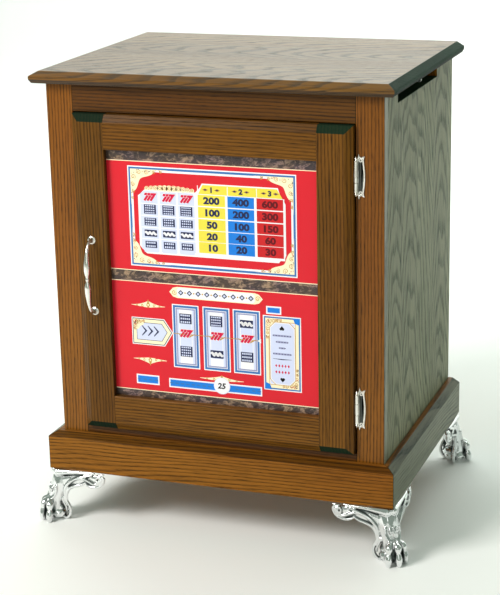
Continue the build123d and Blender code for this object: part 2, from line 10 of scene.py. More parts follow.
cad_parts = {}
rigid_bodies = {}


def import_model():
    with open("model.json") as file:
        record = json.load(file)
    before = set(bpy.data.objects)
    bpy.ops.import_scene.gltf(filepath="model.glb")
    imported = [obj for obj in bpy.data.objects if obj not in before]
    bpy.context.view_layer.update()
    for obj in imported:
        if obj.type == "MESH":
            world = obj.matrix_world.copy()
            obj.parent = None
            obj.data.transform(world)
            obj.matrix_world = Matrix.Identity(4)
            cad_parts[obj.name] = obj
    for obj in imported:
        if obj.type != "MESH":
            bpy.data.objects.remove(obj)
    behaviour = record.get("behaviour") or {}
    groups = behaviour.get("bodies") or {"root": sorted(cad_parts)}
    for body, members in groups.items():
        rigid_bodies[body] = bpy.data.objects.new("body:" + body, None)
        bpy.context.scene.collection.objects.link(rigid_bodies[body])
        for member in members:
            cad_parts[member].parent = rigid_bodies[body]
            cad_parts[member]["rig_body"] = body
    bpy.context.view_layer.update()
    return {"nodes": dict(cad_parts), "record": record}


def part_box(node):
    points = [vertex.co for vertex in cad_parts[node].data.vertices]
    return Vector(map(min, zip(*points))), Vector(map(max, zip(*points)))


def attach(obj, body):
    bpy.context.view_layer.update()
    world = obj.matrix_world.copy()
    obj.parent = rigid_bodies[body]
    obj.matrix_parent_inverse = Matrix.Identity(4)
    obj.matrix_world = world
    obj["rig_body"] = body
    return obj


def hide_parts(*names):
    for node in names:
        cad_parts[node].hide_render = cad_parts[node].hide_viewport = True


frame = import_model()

mm = 0.001
nodes = frame["nodes"]
bodyOf = {name: node["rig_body"] for name, node in nodes.items()}
slotOf = {row["node"]: row["material_slot"] for row in frame["record"]["subparts"]}


def linear(red, green, blue):
    # paint-chart numbers 0-255 to the light values a shader wants
    steps = [part / 255 for part in (red, green, blue)]
    return tuple(s / 12.92 if s < 0.04045 else ((s + 0.055) / 1.055) ** 2.4 for s in steps) + (1.0,)


def addObject(name, data):
    thing = bpy.data.objects.new(name, data)
    bpy.context.scene.collection.objects.link(thing)
    return thing


# angles in degrees, places in metres, lens and sensor in millimetres
cameraSetup = {
    "target": (0.0517, -0.1845, 0.3927),
    "azimuth": 20.07,
    "elevation": 16.72,
    "roll": -1.2713,
    "distance": 2.605,
    "lens": 103.69,
    "sensor": 36,
    "clip": (0.05, 60),
}


def setCamera(setup):
    turn, lift = math.radians(setup["azimuth"]), math.radians(setup["elevation"])
    back = Vector((math.sin(turn) * math.cos(lift), -math.cos(turn) * math.cos(lift), math.sin(lift)))
    level = (-back).cross(Vector((0, 0, 1))).normalized()
    upright = level.cross(-back).normalized()
    tilt = math.radians(setup["roll"])
    right = level * math.cos(tilt) + upright * math.sin(tilt)
    up = upright * math.cos(tilt) - level * math.sin(tilt)
    data = bpy.data.cameras.new("camera")
    data.lens = setup["lens"]
    data.sensor_width = setup["sensor"]
    data.clip_start, data.clip_end = setup["clip"]
    camera = addObject("camera", data)
    place = Matrix((right, up, back)).transposed().to_4x4()
    place.translation = Vector(setup["target"]) + back * setup["distance"]
    camera.matrix_world = place
    bpy.context.scene.camera = camera


lightAim = (0, 0, 0.38)  # where a light without its own "to" points
lightSetup = {
    "keySoftbox": {"at": (-1.7, -2.3, 2.3), "size": (1.3, 1.3), "power": 108, "tint": (1.0, 0.97, 0.93)},
    "frontFill": {"at": (1.2, -3.0, 1.3), "size": (1.6, 1.6), "power": 9, "tint": (1.0, 0.98, 0.94)},
    "topWash": {"at": (-0.9, 2.2, 2.3), "size": (3.4, 1.6), "power": 26, "tint": (0.86, 1.0, 0.9)},
    "sideWash": {"at": (2.0, 2.6, 1.2), "size": (1.6, 1.6), "power": 4, "tint": (0.78, 1.0, 0.74)},
    "backdropWash": {"at": (0, 1.6, 3.4), "to": (0, 4.2, 1.0), "size": (5.0, 0.8), "power": 112,
                     "tint": (1.0, 1.0, 1.0)},
}
worldSetup = {"Color": (0.82, 1.0, 0.84, 1), "Strength": 0.3}


def addLight(name, setup):
    data = bpy.data.lights.new(name, "AREA")
    data.shape = "RECTANGLE"
    data.size, data.size_y = setup["size"]
    data.energy = setup["power"]
    data.color = setup["tint"]
    lamp = addObject(name, data)
    lamp.location = setup["at"]
    way = Vector(setup.get("to", lightAim)) - Vector(setup["at"])
    lamp.rotation_euler = way.to_track_quat("-Z", "Y").to_euler()


setCamera(cameraSetup)
for lightName, setup in lightSetup.items():
    addLight(lightName, setup)
world = bpy.data.worlds.new("studio")
bpy.context.scene.world = world
world.use_nodes = True
for socket, value in worldSetup.items():
    world.node_tree.nodes["Background"].inputs[socket].default_value = value
bpy.context.scene.view_settings.view_transform = "Standard"
print("camera and lights ready")


def arithmetic(operation, swapped=False):
    def apply(self, other):
        return self.maths(operation, *((other, self) if swapped else (self, other)))
    return apply


class Wire:
    # one socket of a node tree; arithmetic on it adds Math nodes
    __add__ = arithmetic("ADD")
    __radd__ = arithmetic("ADD", True)
    __sub__ = arithmetic("SUBTRACT")
    __rsub__ = arithmetic("SUBTRACT", True)
    __mul__ = arithmetic("MULTIPLY")
    __rmul__ = arithmetic("MULTIPLY", True)
    __truediv__ = arithmetic("DIVIDE")

    def __init__(self, tree, socket=None):
        self.tree = tree
        self.socket = socket

    def make(self, kind, settings=None, inputs=None, output=0):
        node = self.tree.nodes.new(kind)
        for name, value in (settings or {}).items():
            setattr(node, name, value)
        for name, value in (inputs or {}).items():
            if isinstance(value, Wire):
                self.tree.links.new(value.socket, node.inputs[name])
            else:
                node.inputs[name].default_value = value
        return Wire(self.tree, node.outputs[output])

    def maths(self, operation, *values):
        return self.make("ShaderNodeMath", {"operation": operation}, dict(enumerate(values)))

    def step(self, low, high):
        # smooth rise from 0 at low to 1 at high
        inputs = {"Value": self, "From Min": low, "From Max": high}
        return self.make("ShaderNodeMapRange", {"interpolation_type": "SMOOTHSTEP"}, inputs)

    def parts(self):
        node = self.tree.nodes.new("ShaderNodeSeparateXYZ")
        self.tree.links.new(self.socket, node.inputs[0])
        return [Wire(self.tree, out) for out in node.outputs]

    def joined(self, x, y, z):
        return self.make("ShaderNodeCombineXYZ", None, {0: x, 1: y, 2: z})

    def attribute(self, name, output="Fac"):
        return self.make("ShaderNodeAttribute", {"attribute_name": name}, output=output)

    def objectPlace(self):
        return self.make("ShaderNodeTexCoord", output="Object")

    def noise(self, place, scale=1.0, detail=2.0, rough=0.5):
        inputs = {"Vector": place, "Scale": scale, "Detail": detail, "Roughness": rough}
        return self.make("ShaderNodeTexNoise", None, inputs)

    def blend(self, share, first, second, kind="MIX"):
        settings = {"data_type": "RGBA", "blend_type": kind}
        return self.make("ShaderNodeMix", settings, {0: share, 6: first, 7: second}, output=2)


def startMaterial(name, constants):
    material = bpy.data.materials.new(name)
    material.use_nodes = True
    shader = material.node_tree.nodes["Principled BSDF"]
    for socket, value in constants.items():
        shader.inputs[socket].default_value = value
    return material, Wire(material.node_tree)


def feed(material, links):
    tree = material.node_tree
    for socket, source in links.items():
        tree.links.new(source.socket, tree.nodes["Principled BSDF"].inputs[socket])
    return material


def bump(wire, height, distance, strength):
    inputs = {"Height": height, "Distance": distance, "Strength": strength}
    return wire.make("ShaderNodeBump", None, inputs)


# oak, read along a board's own grain
oakLook = {
    "light": linear(156, 102, 34),
    "warm": linear(134, 78, 20),
    "dark": linear(56, 34, 8),
    "pore": linear(20, 14, 4),
    "end": linear(0, 52, 36),
    # light, warm, dark and pore again for faces that look sideways: painted sheen and greenish painted
    # shade
    "cool": (linear(150, 150, 126), linear(124, 126, 104), linear(34, 56, 40), linear(22, 38, 28)),
    "ring": 0.0052,  # metres from one ring to the next
    "tilt": 0.09,
    "sway": 0.05,
    "ripple": 0.0042,
    # how often a noise turns in a metre along the grain, and across it
    "slow": (1.8, 7),
    "quick": (9, 46),
    "streak": (16, 430),
    "fibre": (60, 1400),
    # how far the staves of a panel are shifted against each other, along, across and through
    "staveShift": (2.7, 0.16, 0.03),
    "coatRough": 0.22,
    "coatIor": 1.38,
    "reliefDepth": 0.00035,
}
# per slot: brightness, redness, width of glued-up staves where a panel has them, and how far the board was
# cut from the pith (near it the rings draw cathedrals, beside it they run straight); then the cast of the
# stain, the gloss, and how strong rings and streaks are
oakTones = {
    "oak_slab": {
        "value": 0.8, "shift": 0.5, "stave": 0.112, "beside": (0.1, 0.14), "below": (0.04, 0.08),
        "cast": (0.84, 1.0, 0.92), "ior": 1.35, "coat": 0.26, "rings": 0.5, "streaks": 0.4,
    },
    "oak_frame": {
        "value": 1.0, "shift": 0.7, "stave": 0.0, "beside": (0.11, 0.2), "below": (0.02, 0.05),
        "cast": (0.86, 0.84, 0.8), "ior": 1.24, "coat": 0.14, "rings": 0.5, "streaks": 0.4,
    },
    "oak_side": {
        "value": 1.0, "shift": 0.3, "stave": 0.098, "beside": (-0.07, 0.07), "below": (0.045, 0.08),
        "cast": (1.0, 1.0, 0.95), "ior": 1.1, "coat": 0.0, "rings": 0.36, "streaks": 0.75,
    },
    "oak_plinth": {
        "value": 1.1, "shift": 0.85, "stave": 0.0, "beside": (0.07, 0.1), "below": (0.04, 0.07),
        "cast": (0.82, 0.84, 0.8), "ior": 1.16, "coat": 0.1, "rings": 0.5, "streaks": 0.45,
    },
    "oak_door": {
        "value": 0.72, "shift": 0.4, "stave": 0.0, "beside": (0.12, 0.22), "below": (0.02, 0.05),
        "cast": (0.9, 0.94, 0.9), "ior": 1.2, "coat": 0.08, "rings": 0.5, "streaks": 0.5,
    },
    "inner_wood": {
        "value": 1.2, "shift": 0.2, "stave": 0.105, "beside": (-0.05, 0.05), "below": (0.04, 0.08),
        "cast": (1.0, 1.0, 1.0), "ior": 1.3, "coat": 0.1, "rings": 0.4, "streaks": 0.3,
    },
}


def oak(name, tone):
    look = oakLook
    constants = {"IOR": tone["ior"], "Coat Roughness": look["coatRough"], "Coat IOR": look["coatIor"]}
    material, wire = startMaterial(name, constants)
    grain = wire.attribute("grain", "Vector")
    ends = wire.attribute("endFace")
    along, across, depth = grain.parts()
    if tone["stave"]:
        index = wire.maths("FLOOR", across / tone["stave"])
        chance = wire.make("ShaderNodeTexWhiteNoise", {"noise_dimensions": "1D"}, {"W": index})
        shiftAlong, shiftAcross, shiftDepth = look["staveShift"]
        along = along + chance * shiftAlong
        across = across - index * tone["stave"] + (chance - 0.5) * shiftAcross
        depth = depth + chance * shiftDepth

    def grainNoise(kind, detail=2):
        often, oftenAcross = look[kind]
        place = wire.joined(along * often, across * oftenAcross, depth * oftenAcross)
        return wire.noise(place, detail=detail)

    slow = grainNoise("slow")
    quick = grainNoise("quick")
    lean = depth + along * look["tilt"] + (slow - 0.5) * look["sway"]
    reach = wire.maths("SQRT", across * across + lean * lean) + (quick - 0.5) * look["ripple"]
    phase = wire.maths("FRACT", reach / look["ring"])
    early = 1 - phase.step(0.08, 0.5) + phase.step(0.9, 1.0)
    streak = grainNoise("streak").step(0.5, 0.72)
    pores = grainNoise("fibre", 1).step(0.5, 0.68) * (0.25 + early * 0.75)
    # sideways faces of some slots take greyer, greener colours: painted sheen and painted shade
    sideways = wire.attribute("sideFace")
    light, warm, dark, pore = (
        wire.blend(sideways, look[shade], cool)
        for shade, cool in zip(("light", "warm", "dark", "pore"), look["cool"])
    )
    body = wire.blend(slow.step(0.3, 0.7) * 0.55 + tone["shift"] * 0.45, light, warm)
    body = wire.blend(early * tone["rings"], body, dark)
    body = wire.blend(streak * (tone["streaks"] + early * 0.25), body, dark)
    body = wire.blend(pores * 0.72, body, pore)
    body = wire.blend(ends * 0.93, body, look["end"])
    # each board's own tone together with its painted shade, times a little noise
    level = wire.attribute("boardTone") * tone["value"] * (0.82 + quick * 0.36)
    if tone["stave"]:
        level = level * (0.84 + chance * 0.3)
    body = wire.blend(1.0, body, wire.joined(*(level * part for part in tone["cast"])), "MULTIPLY")
    height = 1 - pores * 0.8 - early * 0.25 - streak * 0.2
    return feed(material, {
        "Base Color": body,
        "Roughness": 0.3 + pores * 0.25 + slow * 0.1 + ends * 0.4,
        "Coat Weight": (1 - pores * 0.8) * (1 - ends) * tone["coat"],
        "Normal": bump(wire, height, look["reliefDepth"], 0.5),
    })


finishes = {slot: oak(slot, tone) for slot, tone in oakTones.items()}
print("oak finishes ready")

# grain of each wooden part: along, across and through the board
grainOf = {
    "XZY": ["frame_top_rail", "frame_bottom_rail", "plinth_front_board", "plinth_back_rail",
            "door_top_rail", "door_bottom_rail", "top_front_cleat", "top_back_cleat",
            "glass_stop_top", "glass_stop_bottom"],
    "ZXY": ["frame_left_stile", "frame_right_stile", "door_left_stile", "door_right_stile",
            "glass_stop_left", "glass_stop_right", "back_panel"],
    "XYZ": ["top_slab", "cabinet_floor", "shelf"],
    "ZYX": ["left_side_panel", "right_side_panel", "corner_block_front_left",
            "corner_block_front_right", "corner_block_back_left", "corner_block_back_right"],
    "YZX": ["plinth_left_board", "plinth_right_board"],
}
# how light each board is against its slot: own tone, and painted shade on the frame's top and bottom rails
boardToneAndShade = {
    "frame_top_rail": 0.44, "frame_bottom_rail": 0.44, "door_left_stile": 0.62, "door_right_stile": 0.82,
    "door_top_rail": 0.86, "door_bottom_rail": 0.86, "frame_right_stile": 0.9, "plinth_left_board": 0.8,
    "plinth_right_board": 0.8,
}
# painted shade on faces of a board: from and to how far they look up, and how dark
paintedShadeFaces = {
    "top_slab": (-1.0, -0.2, 0.35),
    "door_top_rail": (0.3, 0.95, 0.7),
    "plinth_front_board": (0.3, 0.95, 0.45),
    "plinth_left_board": (0.3, 0.95, 0.6),
    "plinth_right_board": (0.3, 0.95, 0.6),
}
sideSheenSlots = ("oak_side", "oak_plinth", "oak_slab", "oak_frame")
# arris: how far long corners are eased; sharp, in degrees: what counts as a corner; endTurn and sideTurn:
# how squarely a face looks along the grain, or sideways, to count as an end or to take the painted side
# sheen
boardLook = {"arris": 0.7 * mm, "shortest": 9 * mm, "sharp": 25.0, "endTurn": 0.35, "sideTurn": 0.4}
weldDistance = 1e-6
flatAngle = 0.01  # radians
creaseAngle = 40.0  # degrees
paneEdge = 0.3 * mm


def camelName(name):
    first, *rest = name.split("_")
    return first + "".join(word.capitalize() for word in rest)


def middleOf(nodeName):
    low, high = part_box(nodeName)
    return (low + high) / 2


def cleanCopy(nodeName):
    # the part's own shape, welded
    shape = bmesh.new()
    shape.from_mesh(nodes[nodeName].data)
    bmesh.ops.remove_doubles(shape, verts=shape.verts, dist=weldDistance)
    return shape


def plainFaces(shape):
    bmesh.ops.dissolve_limit(shape, angle_limit=flatAngle, verts=shape.verts, edges=shape.edges)


def meshFrom(shape, name):
    mesh = bpy.data.meshes.new(name)
    shape.to_mesh(mesh)
    shape.free()
    return mesh


def placePiece(name, mesh, body, finish, replaced=()):
    piece = addObject(name, mesh)
    # an emptied list would lose which face has which ink, so the finishes are only added
    for material in finish if isinstance(finish, list) else [finish]:
        mesh.materials.append(material)
    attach(piece, body)
    if replaced:
        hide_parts(*replaced)
    return piece


def standIn(nodeName, mesh, finish):
    # a piece for one node, on the same body and in the same slot
    return placePiece(camelName(nodeName), mesh, bodyOf[nodeName], finish, [nodeName])


def dressBoard(nodeName, order, finish):
    # a merged copy of the part with its long corners eased, carrying the grain's own coordinates
    look = boardLook
    shape = cleanCopy(nodeName)
    plainFaces(shape)
    corners = [
        edge for edge in shape.edges
        if edge.is_manifold and edge.calc_length() > look["shortest"]
        and edge.calc_face_angle() > math.radians(look["sharp"])
    ]
    bmesh.ops.bevel(shape, geom=corners, offset=look["arris"], segments=2, profile=0.5, affect="EDGES",
                    clamp_overlap=True)
    bmesh.ops.triangulate(shape, faces=shape.faces)
    mesh = meshFrom(shape, camelName(nodeName))
    chance = random.Random(nodeName)
    axes = ["XYZ".index(letter) for letter in order]
    middle = middleOf(nodeName)
    tone = oakTones.get(slotOf[nodeName], oakTones["inner_wood"])
    shift = (chance.uniform(2, 40), chance.uniform(*tone["beside"]), chance.uniform(*tone["below"]))
    flip = chance.choice((-1, 1))
    # the lean of the rings starts from the middle of the board
    below = shift[2] - shift[0] * oakLook["tilt"]
    grain = mesh.attributes.new("grain", "FLOAT_VECTOR", "POINT")
    for vertex, item in zip(mesh.vertices, grain.data):
        along, across, depth = ((vertex.co - middle)[axis] for axis in axes)
        item.vector = (along * flip + shift[0], across + shift[1], depth + below)
    # painted shade for the faces listed for this board
    lowest, highest, shade = paintedShadeFaces.get(nodeName, (2.0, 2.0, 1.0))
    boardTone = boardToneAndShade.get(nodeName, 1.0)
    getsSideSheen = slotOf[nodeName] in sideSheenSlots
    names = ("boardTone", "endFace", "sideFace")
    values = [mesh.attributes.new(name, "FLOAT", "FACE").data for name in names]
    for face, toneItem, endItem, sideItem in zip(mesh.polygons, *values):
        toneItem.value = boardTone * (shade if lowest <= face.normal.z <= highest else 1.0)
        endItem.value = float(abs(face.normal[axes[0]]) > look["endTurn"])
        # faces looking out to either side get the painted sheen where their slot has it
        outward = face.normal.x * math.copysign(1.0, face.center.x)
        sideItem.value = float(getsSideSheen and outward > look["sideTurn"])
    return standIn(nodeName, mesh, finish)


for order, names in grainOf.items():
    for name in names:
        dressBoard(name, order, finishes.get(slotOf[name], finishes["inner_wood"]))
print("boards dressed")

# metals
# metals; their darkest colour is painted shade for hollows
metalLooks = {
    "cast_chrome": {
        "bright": (0.86, 0.87, 0.88, 1), "dull": (0.6, 0.62, 0.62, 1), "pit": (0.02, 0.035, 0.03, 1),
        "rough": 0.1, "spread": 0.14, "grainScale": 260, "bumpDepth": 0.00012,
    },
    "nickel": {
        "bright": (0.9, 0.87, 0.82, 1), "dull": (0.66, 0.61, 0.54, 1), "pit": (0.04, 0.05, 0.045, 1),
        "rough": 0.16, "spread": 0.16, "grainScale": 420, "bumpDepth": 0.00005,
    },
    "zinc_steel": {
        "bright": (0.72, 0.72, 0.7, 1), "dull": (0.46, 0.45, 0.42, 1), "pit": (0.08, 0.07, 0.06, 1),
        "rough": 0.3, "spread": 0.2, "grainScale": 500, "bumpDepth": 0.00005,
    },
}


def metal(name, look):
    # the attribute read below is 0 on open surfaces and 1 deep in a groove, where painted shade darkens the
    # metal and it turns rougher
    material, wire = startMaterial(name, {"Metallic": 1.0})
    place = wire.objectPlace()
    cavity = wire.attribute("cavity")
    cloud = wire.noise(place, scale=38, detail=3)
    fine = wire.noise(place, scale=look["grainScale"], detail=3)
    smudge = cloud.step(0.42, 0.68)
    deep = cavity.step(0.05, 0.5)
    colour = wire.blend(smudge * 0.5, look["bright"], look["dull"])
    # deep hollows take the near-black painted shade
    colour = wire.blend(deep * 0.92, colour, look["pit"])
    return feed(material, {
        "Base Color": colour,
        "Roughness": look["rough"] + smudge * look["spread"] + fine * 0.05 + deep * 0.25,
        "Normal": bump(wire, fine * 0.6 + cloud * 0.4, look["bumpDepth"], 0.6),
    })


for name, look in metalLooks.items():
    finishes[name] = metal(name, look)

# the plain stuffs inside: how often their flecks turn in a metre up the board and across it
boardStuffs = {
    "plywood": {"light": linear(196, 158, 104), "dark": linear(150, 108, 62), "along": 14, "across": 260,
                "rough": 0.55},
    "hardboard": {"light": linear(92, 62, 38), "dark": linear(66, 42, 26), "along": 300, "across": 300,
                  "rough": 0.7},
    "catch_plastic": {"light": linear(74, 48, 30), "dark": linear(58, 38, 24), "along": 420,
                      "across": 420, "rough": 0.4},
}


def stuff(name, look):
    # fibres or pressed flecks, longer up the board than across it
    material, wire = startMaterial(name, {})
    place = wire.objectPlace()
    x, y, z = place.parts()
    stretched = wire.joined(x * look["across"], y * look["across"], z * look["along"])
    fleck = wire.noise(stretched, detail=3)
    cloud = wire.noise(place, scale=9, detail=2)
    share = fleck.step(0.35, 0.65) * 0.7 + cloud * 0.3
    return feed(material, {
        "Base Color": wire.blend(share, look["light"], look["dark"]),
        "Roughness": look["rough"] + fleck * 0.15,
        "Normal": bump(wire, fleck, 0.0002, 0.5),
    })


for name, look in boardStuffs.items():
    finishes[name] = stuff(name, look)


mottledLook = {
    "ground": (linear(62, 42, 30), linear(50, 32, 40)),
    "pale": (linear(164, 134, 104), linear(142, 112, 110)),
    "speck": linear(26, 18, 18),
    "squeeze": 0.7,  # along the strip
    "warp": (0.02, 0.014),
}


def mottled(name, look):
    # burl-printed strip: pale tan islands in a brown and aubergine ground
    material, wire = startMaterial(name, {"Coat Roughness": 0.25})
    x, y, z = wire.objectPlace().parts()
    flat = wire.joined(x * look["squeeze"], y, z)
    warp = wire.noise(flat, scale=90, detail=3)
    drift = wire.joined(x * look["squeeze"] + warp * look["warp"][0], y, z + warp * look["warp"][1])
    islands = wire.noise(drift, scale=150, detail=4, rough=0.62).step(0.46, 0.62)
    specks = wire.noise(drift, scale=520, detail=2).step(0.52, 0.66)
    hue = wire.noise(flat, scale=34, detail=2).step(0.35, 0.65)
    ground = wire.blend(hue, *look["ground"])
    pale = wire.blend(hue, *look["pale"])
    colour = wire.blend(islands * 0.85, ground, pale)
    colour = wire.blend(specks * 0.5, colour, look["speck"])
    return feed(material, {
        "Base Color": colour,
        "Roughness": 0.42 + specks * 0.2,
        "Coat Weight": 0.3 - specks * 0.2,
        "Normal": bump(wire, islands - specks * 0.5, 0.0002, 0.4),
    })


finishes["mottled_trim"] = mottled("mottled_trim", mottledLook)


# art glass: printed colours seen under a gloss
inkColours = {
    "red": linear(210, 30, 44),
    "white": linear(238, 236, 240),
    "blue": linear(60, 112, 176),
    "navy": linear(34, 40, 78),
    "cream": linear(246, 232, 196),
    "gold": linear(190, 146, 70),
    "yellow": linear(228, 212, 72),
    "sky": linear(26, 120, 214),
    "scarlet": linear(196, 30, 34),
    "lavender": linear(206, 212, 240),
    "shade": linear(150, 152, 188),
    "crimson": linear(204, 16, 66),
    "maroon": linear(96, 8, 20),
    "black": linear(24, 22, 24),
}


def ink(name, colour):
    constants = {"Coat Weight": 0.3, "Coat Roughness": 0.05, "Coat IOR": 1.3, "IOR": 1.25}
    material, wire = startMaterial("ink" + name.capitalize(), constants)
    place = wire.objectPlace()
    cloud = wire.noise(place, scale=16, detail=2)
    grit = wire.noise(place, scale=900, detail=1)
    tone = 0.93 + cloud * 0.1 + grit * 0.04
    shade = wire.blend(1.0, colour, wire.joined(tone, tone, tone), "MULTIPLY")
    return feed(material, {
        "Base Color": shade,
        "Roughness": 0.34 + grit * 0.1,
        "Normal": bump(wire, cloud + grit * 0.2, 0.0001, 0.12),
    })


inks = {name: ink(name, colour) for name, colour in inkColours.items()}
inkOrder = list(inks)
layerStep = 0.05 * mm  # from one printed layer to the next
ruleHalf = 176
steepestMitre = 0.35


def inward(outline, distance):
    # the outline moved in by a distance, its corners mitred; points run anticlockwise
    result = []
    count = len(outline)
    for i in range(count):
        before, here, after = (Vector(outline[(i + k) % count]) for k in (-1, 0, 1))
        first = (here - before).normalized()
        second = (after - here).normalized()
        square = Vector((-first.y, first.x))
        normal = (square + Vector((-second.y, second.x))).normalized()
        reach = distance / max(steepestMitre, normal.dot(square))
        result.append(tuple(here + normal * reach))
    return result


def rectangle(left, low, right, high, cut=0.0):
    if not cut:
        return [(left, low), (right, low), (right, high), (left, high)]
    return [
        (left + cut, low), (right - cut, low), (right, low + cut), (right, high - cut),
        (right - cut, high), (left + cut, high), (left, high - cut), (left, low + cut),
    ]


class Artwork:
    # printed shapes on one pane, in millimetres from its middle; each is a closed sliver

    def __init__(self, paneName):
        low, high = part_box(paneName)
        self.origin = Vector(((low.x + high.x) / 2, low.y, (low.z + high.z) / 2))
        self.size = (high - low) / mm
        self.shape = bmesh.new()

    def spot(self, x, z, layer):
        return self.origin + Vector((x * mm, -layer * layerStep, z * mm))

    def sliver(self, outline, inkName, layer):
        area = sum(a[0] * b[1] - b[0] * a[1] for a, b in zip(outline, outline[1:] + outline[:1]))
        ordered = outline if area > 0 else outline[::-1]
        top = [self.shape.verts.new(self.spot(x, z, layer)) for x, z in ordered]
        foot = [self.shape.verts.new(self.spot(x, z, -0.5)) for x, z in ordered]
        faces = [self.shape.faces.new(top), self.shape.faces.new(foot[::-1])]
        for i in range(len(top)):
            k = (i + 1) % len(top)
            faces.append(self.shape.faces.new((top[i], foot[i], foot[k], top[k])))
        for face in faces:
            face.material_index = inkOrder.index(inkName)

    def box(self, left, low, right, high, inkName, layer, cut=0.0):
        self.sliver(rectangle(left, low, right, high, cut), inkName, layer)

    def plate(self, x, z, halfX, halfZ, inkName, layer, cut=0.0):
        self.box(x - halfX, z - halfZ, x + halfX, z + halfZ, inkName, layer, cut)

    def lozenge(self, x, z, halfX, halfZ, inkName, layer):
        self.sliver([(x - halfX, z), (x, z - halfZ), (x + halfX, z), (x, z + halfZ)], inkName, layer)

    def edgeLines(self):
        # a cream rule along the top and the bottom of the pane
        edge = self.size.z / 2
        for end in (-1, 1):
            self.box(-ruleHalf, end * edge - end * 0.1, ruleHalf, end * (edge - 1.3), "cream", 1)

    def ribbon(self, points, widths, inkName, layer):
        # a strip with its own width at each point
        left, right = [], []
        for i, (x, z) in enumerate(points):
            ahead = Vector(points[min(i + 1, len(points) - 1)])
            behind = Vector(points[max(i - 1, 0)])
            run = (ahead - behind).normalized()
            half = widths[i] / 2
            left.append((x - run.y * half, z + run.x * half))
            right.append((x + run.y * half, z - run.x * half))
        for i in range(len(points) - 1):
            self.sliver([right[i], right[i + 1], left[i + 1], left[i]], inkName, layer)

    def disc(self, x, z, radius, inkName, layer, sides):
        turns = [2 * math.pi * i / sides for i in range(sides)]
        rim = [(x + radius * math.cos(turn), z + radius * math.sin(turn)) for turn in turns]
        self.sliver(rim, inkName, layer)

    def scroll(self, x, z, radius, start, turns, inkName, layer, width):
        # a spiral that winds in from its open end; negative turns wind the other way
        steps = int(abs(turns) * 16)
        points, widths = [], []
        for i in range(steps + 1):
            share = i / steps
            angle = start + turns * 2 * math.pi * share
            reach = radius * (1 - 0.78 * share)
            points.append((x + reach * math.cos(angle), z + reach * math.sin(angle)))
            widths.append(width * (0.35 + 0.65 * math.sin(math.pi * (0.15 + 0.8 * share))))
        self.ribbon(points, widths, inkName, layer)
        self.disc(x, z, width * 0.55, inkName, layer, 10)

    def banded(self, outline, bands, layer):
        # one outline inside another, each band an ink and a width; gives the next free layer
        for inkName, width in bands:
            self.sliver(outline, inkName, layer)
            outline = inward(outline, width)
            layer += 1
        return layer

    def figure(self, text, x, z, height, inkName, layer, stretch, slant, weight):
        data = bpy.data.curves.new("figure", "FONT")
        data.body = text
        data.align_x = "CENTER"
        data.align_y = "CENTER"
        data.size = 1.0
        data.offset = weight
        data.extrude = 0.5
        data.resolution_u = 3
        holder = bpy.data.objects.new("figure", data)
        mesh = bpy.data.meshes.new_from_object(holder)
        bpy.data.objects.remove(holder)
        ys = [v.co.y for v in mesh.vertices]
        middle, tall = (max(ys) + min(ys)) / 2, max(ys) - min(ys)
        scale = height / tall
        for vertex in mesh.vertices:
            across = (vertex.co.x * stretch + (vertex.co.y - middle) * slant) * scale
            vertex.co = self.spot(x + across, z + (vertex.co.y - middle) * scale, 0) + Vector(
                (0, -(vertex.co.z + 0.5) * layer * layerStep, 0)
            )
        before = len(self.shape.faces)
        self.shape.from_mesh(mesh)
        self.shape.faces.ensure_lookup_table()
        for face in self.shape.faces[before:]:
            face.material_index = inkOrder.index(inkName)
        bpy.data.meshes.remove(mesh)

    def finish(self, name, body):
        return placePiece(name, meshFrom(self.shape, name), body, list(inks.values()))


piercedLook = {
    "steps": 24, "lobes": 12, "scrollsAt": (0.22, 0.42, 0.62, 0.8), "dots": 36,
    "dotInks": ("navy", "gold", "red", "navy"),
}


def pierced(art, x, z, toX, toZ, layer, seed, fill=6.0):
    # corner filigree: a scalloped cream plate with scrolls and dots; toX and toZ point out of the corner
    look = piercedLook
    chance = random.Random(seed)
    spreadX, spreadZ = abs(toX), abs(toZ)
    signX, signZ = toX / spreadX, toZ / spreadZ
    outline = [(0, 0), (spreadX, 0)]
    for i in range(1, look["steps"]):
        turn = math.pi / 2 * i / look["steps"]
        bulge = 1 + 0.1 * math.cos(look["lobes"] * turn)
        outline.append((
            spreadX * (1 - math.sin(turn)) * bulge + fill * math.sin(2 * turn),
            spreadZ * (1 - math.cos(turn)) * bulge + fill * math.sin(2 * turn),
        ))
    outline.append((0, spreadZ))
    art.sliver([(x + px * signX, z + pz * signZ) for px, pz in outline], "cream", layer)
    for share in look["scrollsAt"]:
        for along in (True, False):
            reach = (spreadX if along else spreadZ) * share
            thin = 3.2 * (1 - share) + 1.6
            px, pz = (reach, thin + 0.8) if along else (thin + 0.8, reach)
            turns = signX * signZ * (1.3 if along else -1.3)
            art.scroll(x + px * signX, z + pz * signZ, thin, chance.uniform(0, 6), turns, "gold",
                       layer + 1, 0.9)
    for _ in range(look["dots"]):
        along = chance.random()
        reach = chance.uniform(0.08, 0.85)
        px = spreadX * reach if along > 0.5 else chance.uniform(1, 6 * (1.1 - reach))
        pz = chance.uniform(1, 6 * (1.1 - reach)) if along > 0.5 else spreadZ * reach
        dotInk = chance.choice(look["dotInks"])
        art.disc(x + px * signX, z + pz * signZ, chance.uniform(0.4, 0.8), dotInk, layer + 2, 8)


def sevens(art, x, z, size, layer):
    # three leaning 7s, one behind the other
    for i in (-1, 0, 1):
        level = layer + 2 * (i + 1)
        art.figure("7", x + i * size * 0.36, z, size, "white", level, 1.05, 0.24, 0.11)
        art.figure("7", x + i * size * 0.36, z, size * 0.92, "crimson", level + 1, 1.05, 0.24, 0.085)


